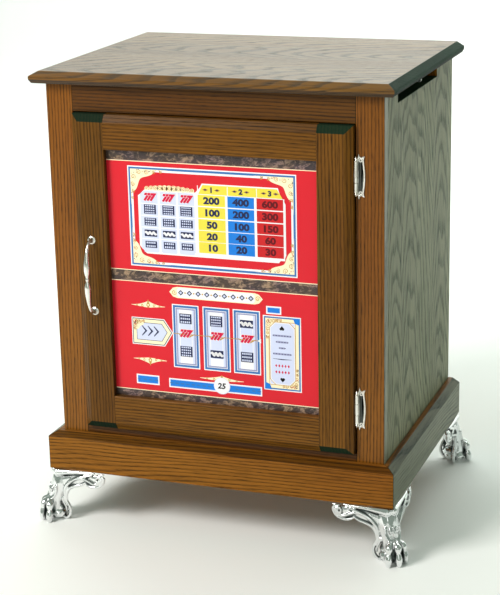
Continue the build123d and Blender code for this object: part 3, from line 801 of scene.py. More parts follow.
def barStack(art, x, z, width, high, rows, layer):
    # dark plate with light bars across it, in place of the lettered ones
    art.plate(x, z, width / 2, high / 2, "navy", layer)
    pitch = high / rows
    for row in range(rows):
        middle = z - high / 2 + pitch * (row + 0.5)
        for k in range(5):
            left = x - width / 2 + width * (0.1 + 0.165 * k)
            low, top = middle - pitch * 0.26, middle + pitch * 0.26
            art.box(left, low, left + width * 0.11, top, "lavender", layer + 1)


def wavePlate(art, x, z, width, high, layer):
    art.plate(x, z, width / 2, high / 2, "navy", layer)
    points = []
    for i in range(25):
        share = i / 24
        points.append((x + width * (share - 0.5) * 0.9, z + high * 0.17 * math.sin(share * 6 * math.pi)))
    art.ribbon(points, [high * 0.3] * len(points), "white", layer + 1)


awardLook = {
    "frame": (134.6, 78.5),
    "frameBands": (("white", 1.8), ("blue", 3.4), ("white", 3.2), ("red", 0.0)),
    "corner": (62.0, 56.0),
    "panelLow": -57.5,
    "symbolX": (-99.5, -69.3, -40.1),
    "rowZ": (30.3, 11.6, -7.1, -25.1, -42.8),
    "columnX": ((-21.2, 22.6, "yellow"), (26.4, 68.5, "sky"), (72.4, 114.0, "scarlet")),
    "columnTop": 39.5,
    "columnLow": -51.8,
    "rowHigh": 17.0,
    "awards": (("200", "100", "50", "20", "10"), ("400", "200", "100", "40", "20"),
               ("600", "300", "150", "60", "30")),
    "figureHigh": 11.4,
    "headingZ": 47.8,
    "seven": 14.0,
    # what stands in the rows under the 7s: rows of bars (none for a wave), width, height, how far above
    "symbols": ((4, 19.5, 14.5, 0.8), (3, 19.5, 12, 0.0), (0, 20.5, 10.5, 0.0), (2, 19.0, 10.5, 0.0)),
}


def awardArtwork(look):
    art = Artwork("award_glass")
    art.edgeLines()
    halfX, halfZ = look["frame"]
    art.banded(rectangle(-halfX, -halfZ, halfX, halfZ), look["frameBands"], 1)
    for i, (signX, signZ) in enumerate(((-1, 1), (1, 1), (1, -1), (-1, -1))):
        pierced(art, signX * (halfX - 4.6), signZ * (halfZ - 4.6), -signX * look["corner"][0],
                -signZ * look["corner"][1], 6, 40 + i, 0.0)
    low = look["panelLow"]
    art.sliver([
        (-107, low), (106, low), (109, low + 4), (116, low + 9), (117.5, low + 12), (117.5, 33),
        (115, 38), (110, 44), (106, 57), (-14, 57), (-18, 50), (-25, 42.5), (-108, 42.5), (-113, 37),
        (-118.5, 33), (-118.5, low + 12), (-116, low + 9), (-111, low + 4),
    ], "white", 9)
    art.box(-115.0, low + 3.5, -25, 40.5, "lavender", 10, 5)
    # soft columns behind the symbols, and white rules between the rows
    for x in look["symbolX"]:
        art.box(x - 11.5, low + 2.4, x + 11.5, 40, "lavender", 11)
    for x in (-84.5, -54.8, -25):
        art.box(x - 1.6, low + 2.4, x + 1.6, 40, "white", 11)
    for upper, lower in zip(look["rowZ"], look["rowZ"][1:]):
        art.plate(-70, (upper + lower) / 2, 44, 0.6, "white", 12)
    art.sliver([(-20, 41), (113, 41), (104.5, 55), (-13, 55), (-16, 49)], "yellow", 12)
    columnLow, columnTop, headingZ = look["columnLow"], look["columnTop"], look["headingZ"]
    for number, (left, right, inkName) in enumerate(look["columnX"]):
        art.box(left - 1.6, columnLow - 2, right + 1.8, columnTop + 1, "white", 13)
        art.box(left - 0.4, columnTop + 1, left + 0.8, 54, "white", 13)
        dark = "maroon" if inkName == "scarlet" else "navy"
        middle = (left + right) / 2
        for row, text in enumerate(look["awards"][number]):
            z = look["rowZ"][row] + 1.0
            half = look["rowHigh"] / 2
            art.box(left, z - half, right, z + half, inkName, 14)
            art.figure(text, middle, z, look["figureHigh"], dark, 16, 1.2, 0.0, 0.05)
        # the heading: a number between two lozenges
        art.figure(str(number + 1), middle, headingZ, 8.6, "navy", 15, 1.1, 0.0, 0.05)
        for side in (-1, 1):
            art.lozenge(middle + side * 9.5, headingZ, 5, 2.2, "gold", 14)
            art.lozenge(middle + side * 9.5, headingZ, 3, 1.3, "navy", 15)
    for x in look["symbolX"]:
        sevens(art, x, look["rowZ"][0] + 1, look["seven"], 14)
        for z, (rows, width, high, lift) in zip(look["rowZ"][1:], look["symbols"]):
            if rows:
                barStack(art, x, z + lift, width, high, rows, 14)
            else:
                wavePlate(art, x, z + lift, width, high, 14)
    # crest of scrolls along the top of the symbol half
    for i in range(11):
        x = -104 + i * 7.4
        lift = 3.2 * math.sin(math.pi * (i + 0.5) / 11)
        turns = 1.3 if i < 5 else -1.3
        art.disc(x, 44.6 + lift * 0.4, 3.0 + lift * 0.7, "cream", 10, 14)
        art.scroll(x, 45 + lift * 0.5, 2.2 + lift * 0.5, 0.4 * i, turns, "gold", 11, 0.9)
    return art.finish("awardArt", "door")


playLook = {
    "banner": (-73.0, 67.0, 79.0, 84.8),
    "ornament": (-109.0, (51.0, -37.5)),
    "plate": (-137.8, -13.5, -83.2, 30.7, -69.0, 9.7),
    "reels": (-47.5, 2.85, 52.05),
    "reelHalf": 21.9,
    "reelZ": (-45.6, 56.9),
    "payLine": 9.7,
    "card": (78.5, -67.3, 139.0, 51.7),
    "labels": ((84.0, 54.0, 108.0, 66.4), (-133.4, -78.4, -95.0, -62.8), (-78.5, -79.5, 75.0, -64.4)),
    "medal": (9.6, -69.0, 13.5),
    # rows of bars on the dark plates above and below the 7s; none stands for a wave
    "reelRows": ((3, 4), (4, 0), (0, 3)),
    "plateBands": (("white", 1.4), ("navy", 1.2), ("cream", 5.2), ("navy", 0.8), ("lavender", 0.0)),
    "reelBands": (("white", 1.6), ("blue", 3.4), ("white", 0.8), ("shade", 0.0)),
    "cardBands": (("white", 1.6), ("blue", 2.2), ("cream", 5.0), ("gold", 0.9), ("white", 1.2),
                  ("lavender", 0.0)),
    "labelBands": (("white", 1.6), ("lavender", 0.7), ("sky", 0.0)),
}


def winged(art, x, z, reach, lift, layer, flip=1):
    # a small ornament like a folded pediment: a middle boss with a leaf each side
    for side in (-1, 1):
        leaf = []
        for i in range(9):
            share = i / 8
            leaf.append((x + side * reach * share, z + flip * lift * (1 - share) ** 2 * 0.9))
        for i in range(9):
            share = 1 - i / 8
            ripple = 0.9 * abs(math.sin(share * 3 * math.pi))
            leaf.append((x + side * reach * share, z - flip * (2.2 + ripple) * (1 - share) - flip * 0.6))
        art.sliver(leaf, "cream", layer)
        art.scroll(x + side * reach * 0.35, z, 2.4, 0, side * 1.2, "gold", layer + 1, 0.9)
        art.scroll(x + side * reach * 0.68, z - flip * 0.4, 1.7, 2, side * 1.2, "gold", layer + 1, 0.8)
    boss = [(x - 3.2, z), (x, z - flip * 4), (x + 3.2, z), (x, z + flip * lift * 1.25)]
    art.sliver(boss, "gold", layer + 1)
    art.disc(x, z + flip * 0.8, 1.5, "cream", layer + 2, 12)


def playArtwork(look):
    art = Artwork("play_glass")
    art.edgeLines()
    # banner with a row of lozenges and beads in place of words
    left, low, right, high = look["banner"]
    middle = (low + high) / 2
    art.sliver([
        (left, middle), (left + 6, low + 2), (left + 13, low), (right - 13, low), (right - 6, low + 2),
        (right, middle), (right - 6, high - 2), (right - 13, high), (left + 13, high), (left + 6, high - 2),
    ], "cream", 1)
    art.box(left + 13, low + 1.2, right - 13, high - 1.2, "white", 2, 3)
    for i in range(9):
        x = left + 19 + (right - left - 38) * i / 8
        art.lozenge(x, middle, 4.6, 4.4, "navy", 3)
        art.lozenge(x, middle, 2.4, 2.2, "lavender", 4)
        if i < 8:
            art.disc(x + (right - left - 38) / 16, middle, 1.3, "gold", 3, 10)
    for end, x in ((-1, left + 8), (1, right - 8)):
        art.scroll(x, middle, 4.2, 0, end * 1.3, "gold", 2, 1.1)
    x, (upper, lower) = look["ornament"]
    winged(art, x, upper, 28, 8, 1)
    winged(art, x, lower, 28, 8, 1, -1)
    # pointed plate, aimed along the pay line
    left, low, right, high, tip, tipZ = look["plate"]
    plate = [(left, low), (right, low), (tip, tipZ), (right, high), (left, high)]
    layer = art.banded(plate, look["plateBands"], 1)
    pierced(art, left + 2.6, high - 2.6, 22, -20, layer, 71)
    for i in range(3):
        x = left + 17 + 10 * i
        art.ribbon([(x, tipZ + 8), (x + 7, tipZ), (x, tipZ - 8)], [1.2, 3.4, 1.2], "navy", layer + 4)
    # reels
    low, high = look["reelZ"]
    half, payLine = look["reelHalf"], look["payLine"]
    for x, rows in zip(look["reels"], look["reelRows"]):
        rim = rectangle(x - half, low, x + half, high)
        layer = art.banded(rim, look["reelBands"], 1)
        art.sliver(inward(inward(rim, 5.8), 2.4), "lavender", layer)
        art.box(x - 10.4, low + 8, x + 10.4, high - 8, "white", layer + 1)
        art.box(x - 9.4, low + 20, x + 9.4, high - 20, "lavender", layer + 2)
        for count, z in zip(rows, (payLine + 25, payLine - 28)):
            if count:
                barStack(art, x, z, 20, 13 + count, count, layer + 3)
            else:
                wavePlate(art, x, z, 21, 12.5, layer + 3)
        sevens(art, x, payLine + 1.0, 14.5, layer + 4)
        for side in (-1, 1):
            leaf = [(x + side * run, payLine + rise) for run, rise in ((5, -4), (10.5, -1), (14, 1))]
            art.ribbon(leaf, [2.4, 2.0, 0.6], "gold", layer + 3)
    cardLeft = look["card"][0]
    art.ribbon([(tip, payLine), (cardLeft - 4, payLine)], [0.8, 0.8], "gold", 12)
    tipX = cardLeft - 7.5
    art.sliver([(tipX - 1.5, payLine), (tipX + 4, payLine - 3.6), (tipX + 4, payLine + 3.6)], "white", 13)
    # card
    left, low, right, high = look["card"]
    layer = art.banded(rectangle(left, low, right, high), look["cardBands"], 1)
    pierced(art, left + 4, high - 4, 30, -38, layer, 81)
    pierced(art, right - 4, low + 4, -30, 38, layer, 82)
    for x, z, turn in ((right - 1.6, high - 1.6, -1), (left + 1.6, low + 1.6, 1)):
        art.sliver([(x, z), (x + turn * 11, z), (x + turn * 8, z + turn * 8), (x, z + turn * 11)], "sky",
                   layer + 4)
    window = rectangle(left + 10, low + 9, right - 9, high - 9, 9)
    for rise, (inkName, inset) in enumerate((("gold", 0.0), ("white", 0.9), ("lavender", 2.2))):
        art.sliver(inward(window, inset) if inset else window, inkName, layer + 3 + rise)
    middle = (left + right) / 2
    for z, flip in ((high - 20, 1), (low + 19, -1)):
        for side in (-1, 1):
            art.disc(middle + side * 1.7, z, 2.1, "black", layer + 6, 14)
        rise = z + flip * 0.6
        art.sliver([(middle - 3.6, rise), (middle + 3.6, rise), (middle, z + flip * 5)], "black", layer + 6)
    for z, wide in ((21, 15), (11, 10), (1.5, 5), (-8, 15)):
        art.plate(middle, z, wide, 1.5, "shade", layer + 6, 1.2)
        for k in range(-int(wide // 5), int(wide // 5) + 1):
            art.disc(middle + k * 4.6, z, 0.9, "navy", layer + 7, 8)
    rule = [(middle - 15, -16), (middle, -16.6), (middle + 15, -16)]
    art.ribbon(rule, [0.4, 1.6, 0.4], "navy", layer + 6)
    for z in (-27, -37):
        for k in (-2, -1, 0, 1, 2):
            art.lozenge(middle + k * 5, z, 1.7, 2.6, "crimson", layer + 6)
    # labels, crest and medal
    for left, low, right, high in look["labels"]:
        art.banded(rectangle(left, low, right, high), look["labelBands"], 1)
        count = max(2, int((right - left) / 9))
        for i in range(count):
            x = left + (right - left) * (i + 0.5) / count
            if abs(x - look["medal"][0]) > 18 and right - left > 30:
                art.plate(x, (low + high) / 2, 2.8, 0.9, "blue", 5)
    x, z, radius = look["medal"]
    winged(art, x, z + 10.5, 36, 6, 5)
    art.disc(x, z, radius, "lavender", 9, 40)
    art.disc(x, z, radius - 0.8, "white", 10, 40)
    art.figure("25", x, z, 9.5, "black", 11, 1.05, 0.16, 0.035)
    return art.finish("playArt", "door")


def easedPane(nodeName, finish):
    # the pane itself, its edges ground
    shape = cleanCopy(nodeName)
    plainFaces(shape)
    bmesh.ops.bevel(shape, geom=shape.edges[:], offset=paneEdge, segments=1, affect="EDGES")
    return standIn(nodeName, meshFrom(shape, camelName(nodeName)), finish)


for name in ("award_glass", "play_glass"):
    easedPane(name, inks["red"])
for name in ("trim_strip_top", "trim_strip_middle", "trim_strip_bottom"):
    easedPane(name, finishes["mottled_trim"])
awardArtwork(awardLook)
playArtwork(playLook)
print("art glass laid out")


# round and lofted metal
def joinRings(shape, rings):
    # a closed skin from ring to ring, capped at both ends
    for ring, after in zip(rings, rings[1:]):
        for k in range(len(ring)):
            n = (k + 1) % len(ring)
            shape.faces.new((ring[k], ring[n], after[n], after[k]))
    shape.faces.new(rings[0][::-1])
    shape.faces.new(rings[-1])


def tube(shape, points, radii, sides):
    # rings about a path that stays square to the x axis
    across = Vector((1, 0, 0))
    rings = []
    for i, point in enumerate(points):
        run = (points[min(i + 1, len(points) - 1)] - points[max(i - 1, 0)]).normalized()
        second = run.cross(across).normalized()
        ring = []
        for k in range(sides):
            turn = 2 * math.pi * k / sides
            offset = across * math.cos(turn) + second * math.sin(turn)
            ring.append(shape.verts.new(point + offset * radii[i]))
        rings.append(ring)
    joinRings(shape, rings)


def smoothed(keys, steps):
    # Catmull-Rom through the keys, each a tuple of numbers
    result = []
    count = len(keys)
    for i in range(count - 1):
        a, b, c, d = (keys[min(max(i + k, 0), count - 1)] for k in (-1, 0, 1, 2))
        for step in range(steps):
            t = step / steps
            result.append(tuple(
                0.5 * (2 * q + (r - p) * t + (2 * p - 5 * q + 4 * r - s) * t * t
                       + (3 * q - p - 3 * r + s) * t ** 3)
                for p, q, r, s in zip(a, b, c, d)
            ))
    result.append(tuple(keys[-1]))
    return result


def finishMetal(shape, nodeName, name=None):
    # the closed shape takes its node's place
    bmesh.ops.remove_doubles(shape, verts=shape.verts, dist=weldDistance)
    bmesh.ops.recalc_face_normals(shape, faces=shape.faces)
    name = name or camelName(nodeName)
    mesh = meshFrom(shape, name)
    mesh.shade_smooth()
    mesh.set_sharp_from_angle(angle=math.radians(creaseAngle))
    slotName = slotOf[nodeName]
    return placePiece(name, mesh, bodyOf[nodeName], finishes[slotName], [nodeName])


# from the door face outwards: reach, place along the handle from its middle, radius
handleKeys = (
    (0.0, 57.0, 6.5), (0.8, 57.0, 6.3), (2.0, 57.0, 4.4), (4.6, 57.0, 2.9), (9.0, 56.2, 2.3),
    (14.6, 52.0, 2.2), (18.8, 44.0, 2.5), (21.2, 35.0, 3.1), (22.3, 25.0, 4.2), (22.5, 15.0, 4.6),
    (22.5, 8.0, 3.7), (22.5, 3.4, 2.3), (22.5, 1.6, 2.5), (22.5, 0.0, 3.0),
)


def bowHandle():
    low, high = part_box("handle")
    middle = (low + high) / 2
    half = smoothed(handleKeys, 5)
    line = half + [(out, -along, radius) for out, along, radius in half[-2::-1]]
    points = [Vector((middle.x, high.y - out * mm, middle.z + along * mm)) for out, along, _ in line]
    shape = bmesh.new()
    tube(shape, points, [radius * mm for _, _, radius in line], 24)
    return finishMetal(shape, "handle", "bowHandle")


bowHandle()


# hinges
hingeLook = {
    "barrel": 2.8, "barrelHalf": 22.5, "knuckleHalf": 8.7, "gap": 0.3, "ease": 0.35, "flap": 1.2,
    # leaf outline, upper half: run from the pin, height above the middle
    "crown": ((0.0, 22.5), (0.4, 27.0), (2.0, 29.0), (3.4, 35.0), (5.0, 29.6), (7.4, 28.6), (9.6, 30.0),
              (12.9, 31.0), (11.5, 27.4), (11.1, 24.0), (12.3, 14.0), (13.1, 5.0)),
    # height of the leaf above the wood and how far in from its outline
    "steps": ((0.0, 0.0), (1.4, 0.0), (2.0, 0.5), (2.1, 1.4), (1.8, 2.6), (1.2, 3.1), (1.3, 4.2)),
}


def block(shape, middle, size):
    corners = bmesh.ops.create_cube(shape, size=1.0)["verts"]
    place = Matrix.Translation(middle) @ Matrix.Diagonal((*size, 1))
    bmesh.ops.transform(shape, matrix=place, verts=corners)


def knuckle(shape, pin, start, end, look, side=1):
    # a length of barrel with eased ends, between two distances from the middle of the pin
    radius, ease = look["barrel"] * mm, look["ease"] * mm
    stations = ((start, radius - ease), (start + ease, radius), (end - ease, radius), (end, radius - ease))
    points = [Vector((pin.x, pin.y, pin.z + side * place)) for place, _ in stations]
    tube(shape, points, [size for _, size in stations], 24)


def hingeLeaf(number, look):
    nodeName = "hinge_frame_leaf_" + number
    pin = middleOf("hinge_pin_" + number)
    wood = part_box(nodeName)[1].y
    outline = [(x, -z) for x, z in look["crown"]] + list(look["crown"][::-1])
    shape = bmesh.new()
    rings = []
    cavity = shape.verts.layers.float.new("cavity")
    for rise, step in look["steps"]:
        ring = inward(outline, step) if step else outline
        rings.append([
            shape.verts.new((pin.x + x * mm, wood - rise * mm, pin.z + z * mm)) for x, z in ring
        ])
    joinRings(shape, rings)
    # the sunk middle of the leaf is marked for painted shade
    for vertex in rings[-1] + rings[-2]:
        vertex[cavity] = 1.0
    # outer knuckles, with the web that ties them to the leaf
    start = (look["knuckleHalf"] + look["gap"]) * mm
    end = look["barrelHalf"] * mm
    for side in (-1, 1):
        knuckle(shape, pin, start, end, look, side)
        low = pin.z + side * (start + 0.5 * mm)
        high = pin.z + side * (end - 0.5 * mm)
        middle = Vector((pin.x + 1.5 * mm, (pin.y + wood) / 2 - 0.4 * mm, (low + high) / 2))
        block(shape, middle, (2.2 * mm, abs(wood - pin.y) - 0.9 * mm, abs(high - low)))
    return finishMetal(shape, nodeName)


def hingeDoorLeaf(number, look):
    # the middle knuckle, and its flap in the gap at the door's edge
    nodeName = "hinge_door_leaf_" + number
    low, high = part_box(nodeName)
    pin = middleOf("hinge_pin_" + number)
    shape = bmesh.new()
    radius, half = look["barrel"] * mm, look["knuckleHalf"] * mm
    knuckle(shape, pin, -half, half, look)
    right = low.x + look["flap"] * mm
    flaps = (
        ((low.x, pin.y + radius + 0.4 * mm, low.z), (right, high.y, high.z)),
        ((low.x, pin.y, pin.z - half), (right, pin.y + radius + 0.5 * mm, pin.z + half)),
    )
    for start, end in flaps:
        block(shape, (Vector(start) + Vector(end)) / 2, Vector(end) - Vector(start))
    return finishMetal(shape, nodeName)


# turned finial: height above the end of the barrel, radius
finialKeys = (
    (0.0, 2.4), (0.5, 2.7), (1.0, 2.4), (1.4, 1.3), (2.4, 1.9), (3.4, 2.0), (4.6, 1.5), (6.0, 0.8),
    (7.0, 0.3),
)


def hingePin(number, look):
    nodeName = "hinge_pin_" + number
    middle = middleOf(nodeName)
    line = [(look["barrelHalf"] + rise, radius) for rise, radius in smoothed(finialKeys, 3)]
    line = [(-along, radius) for along, radius in line[::-1]] + line
    shape = bmesh.new()
    points = [Vector((middle.x, middle.y, middle.z + along * mm)) for along, _ in line]
    tube(shape, points, [radius * mm for _, radius in line], 20)
    return finishMetal(shape, nodeName)


for number in ("upper", "lower"):
    hingeLeaf(number, hingeLook)
    hingeDoorLeaf(number, hingeLook)
    hingePin(number, hingeLook)
print("handle and hinges made")


# screws: one tree turns the places of their heads into recessed screws
screwInputs = ("Top Radius", "Base Radius", "Head Height", "Shank Radius", "Length", "Recess")


def screwTree():
    tree = bpy.data.node_groups.new("screwSet", "GeometryNodeTree")
    tree.interface.new_socket("Geometry", in_out="INPUT", socket_type="NodeSocketGeometry")
    for name in screwInputs:
        tree.interface.new_socket(name, in_out="INPUT", socket_type="NodeSocketFloat")
    tree.interface.new_socket("Finish", in_out="INPUT", socket_type="NodeSocketMaterial")
    tree.interface.new_socket("Geometry", in_out="OUTPUT", socket_type="NodeSocketGeometry")
    start = Wire(tree)
    given = tree.nodes.new("NodeGroupInput")
    entry = {socket.name: Wire(tree, socket) for socket in given.outputs if socket.name}
    top, base, height, shank, length, recess = (entry[name] for name in screwInputs)

    def moved(geometry, z):
        inputs = {"Geometry": geometry, "Translation": start.joined(0.0, 0.0, z)}
        return start.make("GeometryNodeTransform", None, inputs)

    head = start.make("GeometryNodeMeshCone", None, {
        "Vertices": 24, "Side Segments": 1, "Fill Segments": 1, "Radius Top": top, "Radius Bottom": base,
        "Depth": height,
    })
    inputs = {"Vertices": 16, "Radius": shank, "Depth": length}
    body = start.make("GeometryNodeMeshCylinder", None, inputs)
    joined = start.make("GeometryNodeMeshBoolean", {"operation": "UNION", "solver": "EXACT"})
    for part in (moved(head, height * -1.0), moved(body, length * -0.5)):
        tree.links.new(part.socket, joined.socket.node.inputs["Mesh 2"])
    cross = [
        start.make("GeometryNodeMeshCube", None, {"Size": start.joined(wide, deep, recess * 2.0)})
        for wide, deep in ((recess * 3.0, recess * 0.8), (recess * 0.8, recess * 3.0))
    ]
    cut = start.make("GeometryNodeMeshBoolean", {"operation": "DIFFERENCE", "solver": "EXACT"})
    tree.links.new(joined.socket, cut.socket.node.inputs["Mesh 1"])
    for cube in cross:
        tree.links.new(cube.socket, cut.socket.node.inputs["Mesh 2"])
    settings = {"data_type": "FLOAT_VECTOR"}
    facing = start.make("GeometryNodeInputNamedAttribute", settings, {"Name": "facing"})
    turn = start.make("FunctionNodeAlignRotationToVector", {"axis": "Z"}, {"Vector": facing})
    placed = start.make("GeometryNodeInstanceOnPoints", None,
                        {"Points": entry["Geometry"], "Instance": cut, "Rotation": turn})
    real = start.make("GeometryNodeRealizeInstances", None, {"Geometry": placed})
    done = start.make("GeometryNodeSetMaterial", None, {"Geometry": real, "Material": entry["Finish"]})
    leave = tree.nodes.new("NodeGroupOutput")
    tree.links.new(done.socket, leave.inputs["Geometry"])
    return tree


def screwPlaces(nodeName):
    # each loose screw of a part: middle of its head, the way it faces, head and shank radius, length
    shape = cleanCopy(nodeName)
    left = set(shape.verts)
    places = []
    while left:
        island, edge = set(), [left.pop()]
        while edge:
            vertex = edge.pop()
            island.add(vertex)
            for link in vertex.link_edges:
                other = link.other_vert(vertex)
                if other in left:
                    left.remove(other)
                    edge.append(other)
        low = Vector([min(v.co[i] for v in island) for i in range(3)])
        high = Vector([max(v.co[i] for v in island) for i in range(3)])
        size = high - low
        axis = max(range(3), key=lambda i: size[i])
        wide = (axis + 1) % 3
        ends = []
        for end in (low[axis], high[axis]):
            spread = [v.co[wide] for v in island if abs(v.co[axis] - end) < 0.1 * mm]
            ends.append((max(spread) - min(spread)) / 2)
        sign = 1 if ends[1] > ends[0] else -1
        facing = Vector([sign if i == axis else 0 for i in range(3)])
        centre = (low + high) / 2
        centre[axis] = high[axis] if sign > 0 else low[axis]
        places.append((centre, facing, max(ends), min(ends), size[axis]))
    shape.free()
    return places


screwSets = ("top_screws", "back_screws", "foot_screws", "frame_leaf_screws", "door_leaf_screws",
             "handle_screws", "catch_screws", "catch_plate_screw", "stop_brads")
panHeads = ("foot_screws",)
panHeight = 2.2 * mm
leafRise = 0.35 * mm  # the frame leaves' screws stand on a raised leaf
screws = screwTree()


def bakedMesh(holder):
    # what an object's modifiers make of it; the object itself goes
    graph = bpy.context.evaluated_depsgraph_get()
    mesh = bpy.data.meshes.new_from_object(holder.evaluated_get(graph))
    bpy.data.objects.remove(holder)
    return mesh


def setScrews(nodeName):
    pan = nodeName in panHeads
    places = screwPlaces(nodeName)
    headRadius, shankRadius, length = places[0][2:]
    lift = leafRise if nodeName == "frame_leaf_screws" else 0.0
    mesh = bpy.data.meshes.new(camelName(nodeName))
    mesh.from_pydata([place[0] + place[1] * lift for place in places], [], [])
    facing = mesh.attributes.new("facing", "FLOAT_VECTOR", "POINT")
    for item, place in zip(facing.data, places):
        item.vector = place[1]
    holder = addObject(camelName(nodeName), mesh)
    modifier = holder.modifiers.new("screwSet", "NODES")
    modifier.node_group = screws
    values = {
        "Top Radius": headRadius * (0.8 if pan else 1.0),
        "Base Radius": headRadius if pan else shankRadius,
        "Head Height": panHeight if pan else max(headRadius - shankRadius, 0.4 * mm),
        "Shank Radius": shankRadius,
        "Length": length,
        "Recess": headRadius * 0.42,
        "Finish": finishes[slotOf[nodeName]],
    }
    for socket in screws.interface.items_tree:
        if socket.in_out == "INPUT" and socket.name in values:
            modifier[socket.identifier] = values[socket.name]
    # the tree has set the finish already
    standIn(nodeName, bakedMesh(holder), [])


for name in screwSets:
    setScrews(name)
print("screws driven")


# claw feet, in millimetres: a wing's points are along it, below its top, proud of the plinth's face and a
# radius; a leg's are height, inset from the corner and radius; a toe's are reach, height and radius
footLook = {
    "voxel": 0.9 * mm,
    "leg": ((80, 24, 10), (72, 22, 15.5), (62, 19, 17.5), (52, 15.5, 16.5), (44, 12.5, 15.5),
            (36, 9.5, 14.5), (26, 6, 14.0), (16, 5, 14.0), (9, 5, 14.5)),
    "bar": ((78, 1.5, 0.2, 1.5), (60, 2.6, 0.4, 2.6), (40, 3.6, 0.0, 3.6), (21, 5.4, -1.6, 5.4),
            (9, 7.2, -3.4, 7.2)),
    "leaf": ((88, 9.5, -2.4, 6.0), (76, 14.5, -2.0, 9.5), (61, 12, -1.8, 7.5), (47, 16, -2.2, 9.5),
             (33, 21, -2.8, 11.0), (20, 28, -4.5, 14.5), (14, 38, -5.5, 14)),
    "ridges": (
        # the long S from the bar down the back of the leg
        ((74, 5, 1.6, 1.5), (55, 9.5, 2.6, 2.2), (39, 17, 2.8, 2.7), (28, 28, 2.0, 2.9),
         (23.5, 40, 0.4, 2.7), (24, 52, -0.4, 2.3)),
        # rib of the outer lobe
        ((86, 18, 1.6, 1.5), (76, 18.5, 2.6, 2.2), (67, 14, 3.0, 2.3), (58, 11.5, 3.0, 2.0),
         (47, 13.5, 2.8, 1.7)),
        # lower edges of the outer and the inner lobe
        ((95, 8, 0.6, 2.2), (92.5, 17, 0.8, 2.5), (85, 23, 0.8, 2.6), (74, 25, 0.8, 2.7),
         (65, 22.5, 0.8, 2.2), (61, 17, 0.8, 1.6)),
        ((62, 19, 0.8, 1.7), (54, 23.5, 1.0, 2.7), (44, 26.5, 1.0, 3.0), (34, 31, 0.8, 3.0),
         (28, 40, 0.0, 2.6), (26, 52, -1.0, 2.0)),
        # fold beside the shin
        ((15, 40, 1.0, 1.4), (14, 46, 2.0, 2.2), (13, 54, 2.2, 2.2), (12, 61, 1.8, 1.6)),
        # thumb claw: its back and its inner edge
        ((24, 49, -0.8, 3.0), (26.5, 56, -1.2, 2.8), (30.5, 64, -1.4, 2.7), (31.5, 72, -1.6, 2.8),
         (29.5, 79, -2.0, 3.0), (25, 84, -2.4, 3.0), (19, 85.5, -2.0, 2.6)),
        ((19, 50, 1.2, 2.6), (22, 58, 1.0, 2.2), (25.5, 66, 0.6, 1.8), (26, 73, 0.2, 1.6)),
        # leaf tips over the scroll
        ((86, 3, 1.0, 1.8), (92, 2.2, 1.2, 1.7), (96.5, 1.4, 0.6, 1.1)),
    ),
    "scroll": {"along": 87.5, "below": 10.5, "from": 8.0, "to": 2.6, "turns": 1.5},
    # drops of the tuft at the ankle, inside its loop: aside of the shin, top and bottom
    "tuft": ((-5.6, 56, 49), (0.0, 58, 43), (5.6, 56, 49)),
    "loop": ((-12, 57), (-12.5, 47), (-9, 38), (0, 33.5), (9, 38), (12.5, 47), (12, 57)),
    "toes": (-45.0, 0.0, 45.0),
    "toe": ((8, 36, 3.8), (14, 32.0, 5.2), (17.4, 27.5, 6.4), (18.2, 21.0, 4.0), (19.6, 15.5, 5.3),
            (20.8, 10.5, 6.0), (21.2, 6.2, 5.5), (21.4, 3.0, 4.6)),
    # palm and heel of the paw: inset, height, radius, share of that in height
    "pads": ((8.0, 11.0, 18.5, 0.66), (12.0, 20.0, 15.5, 0.6)),
    "hollow": {"reach": 11 * mm, "lean": 52.0, "rays": 7},
}


def ballPattern():
    ball = bmesh.new()
    bmesh.ops.create_icosphere(ball, subdivisions=2, radius=1.0)
    points = [vertex.co.copy() for vertex in ball.verts]
    faces = [[vertex.index for vertex in face.verts] for face in ball.faces]
    ball.free()
    return points, faces


ballPoints, ballFaces = ballPattern()


def blob(shape, centre, radius, squash=None):
    # shape is a list of points and a list of faces, which the remesh then melts together
    start = len(shape[0])
    for point in ballPoints:
        shape[0].append(centre + (squash @ point if squash else point) * radius)
    shape[1].extend([[index + start for index in face] for face in ballFaces])


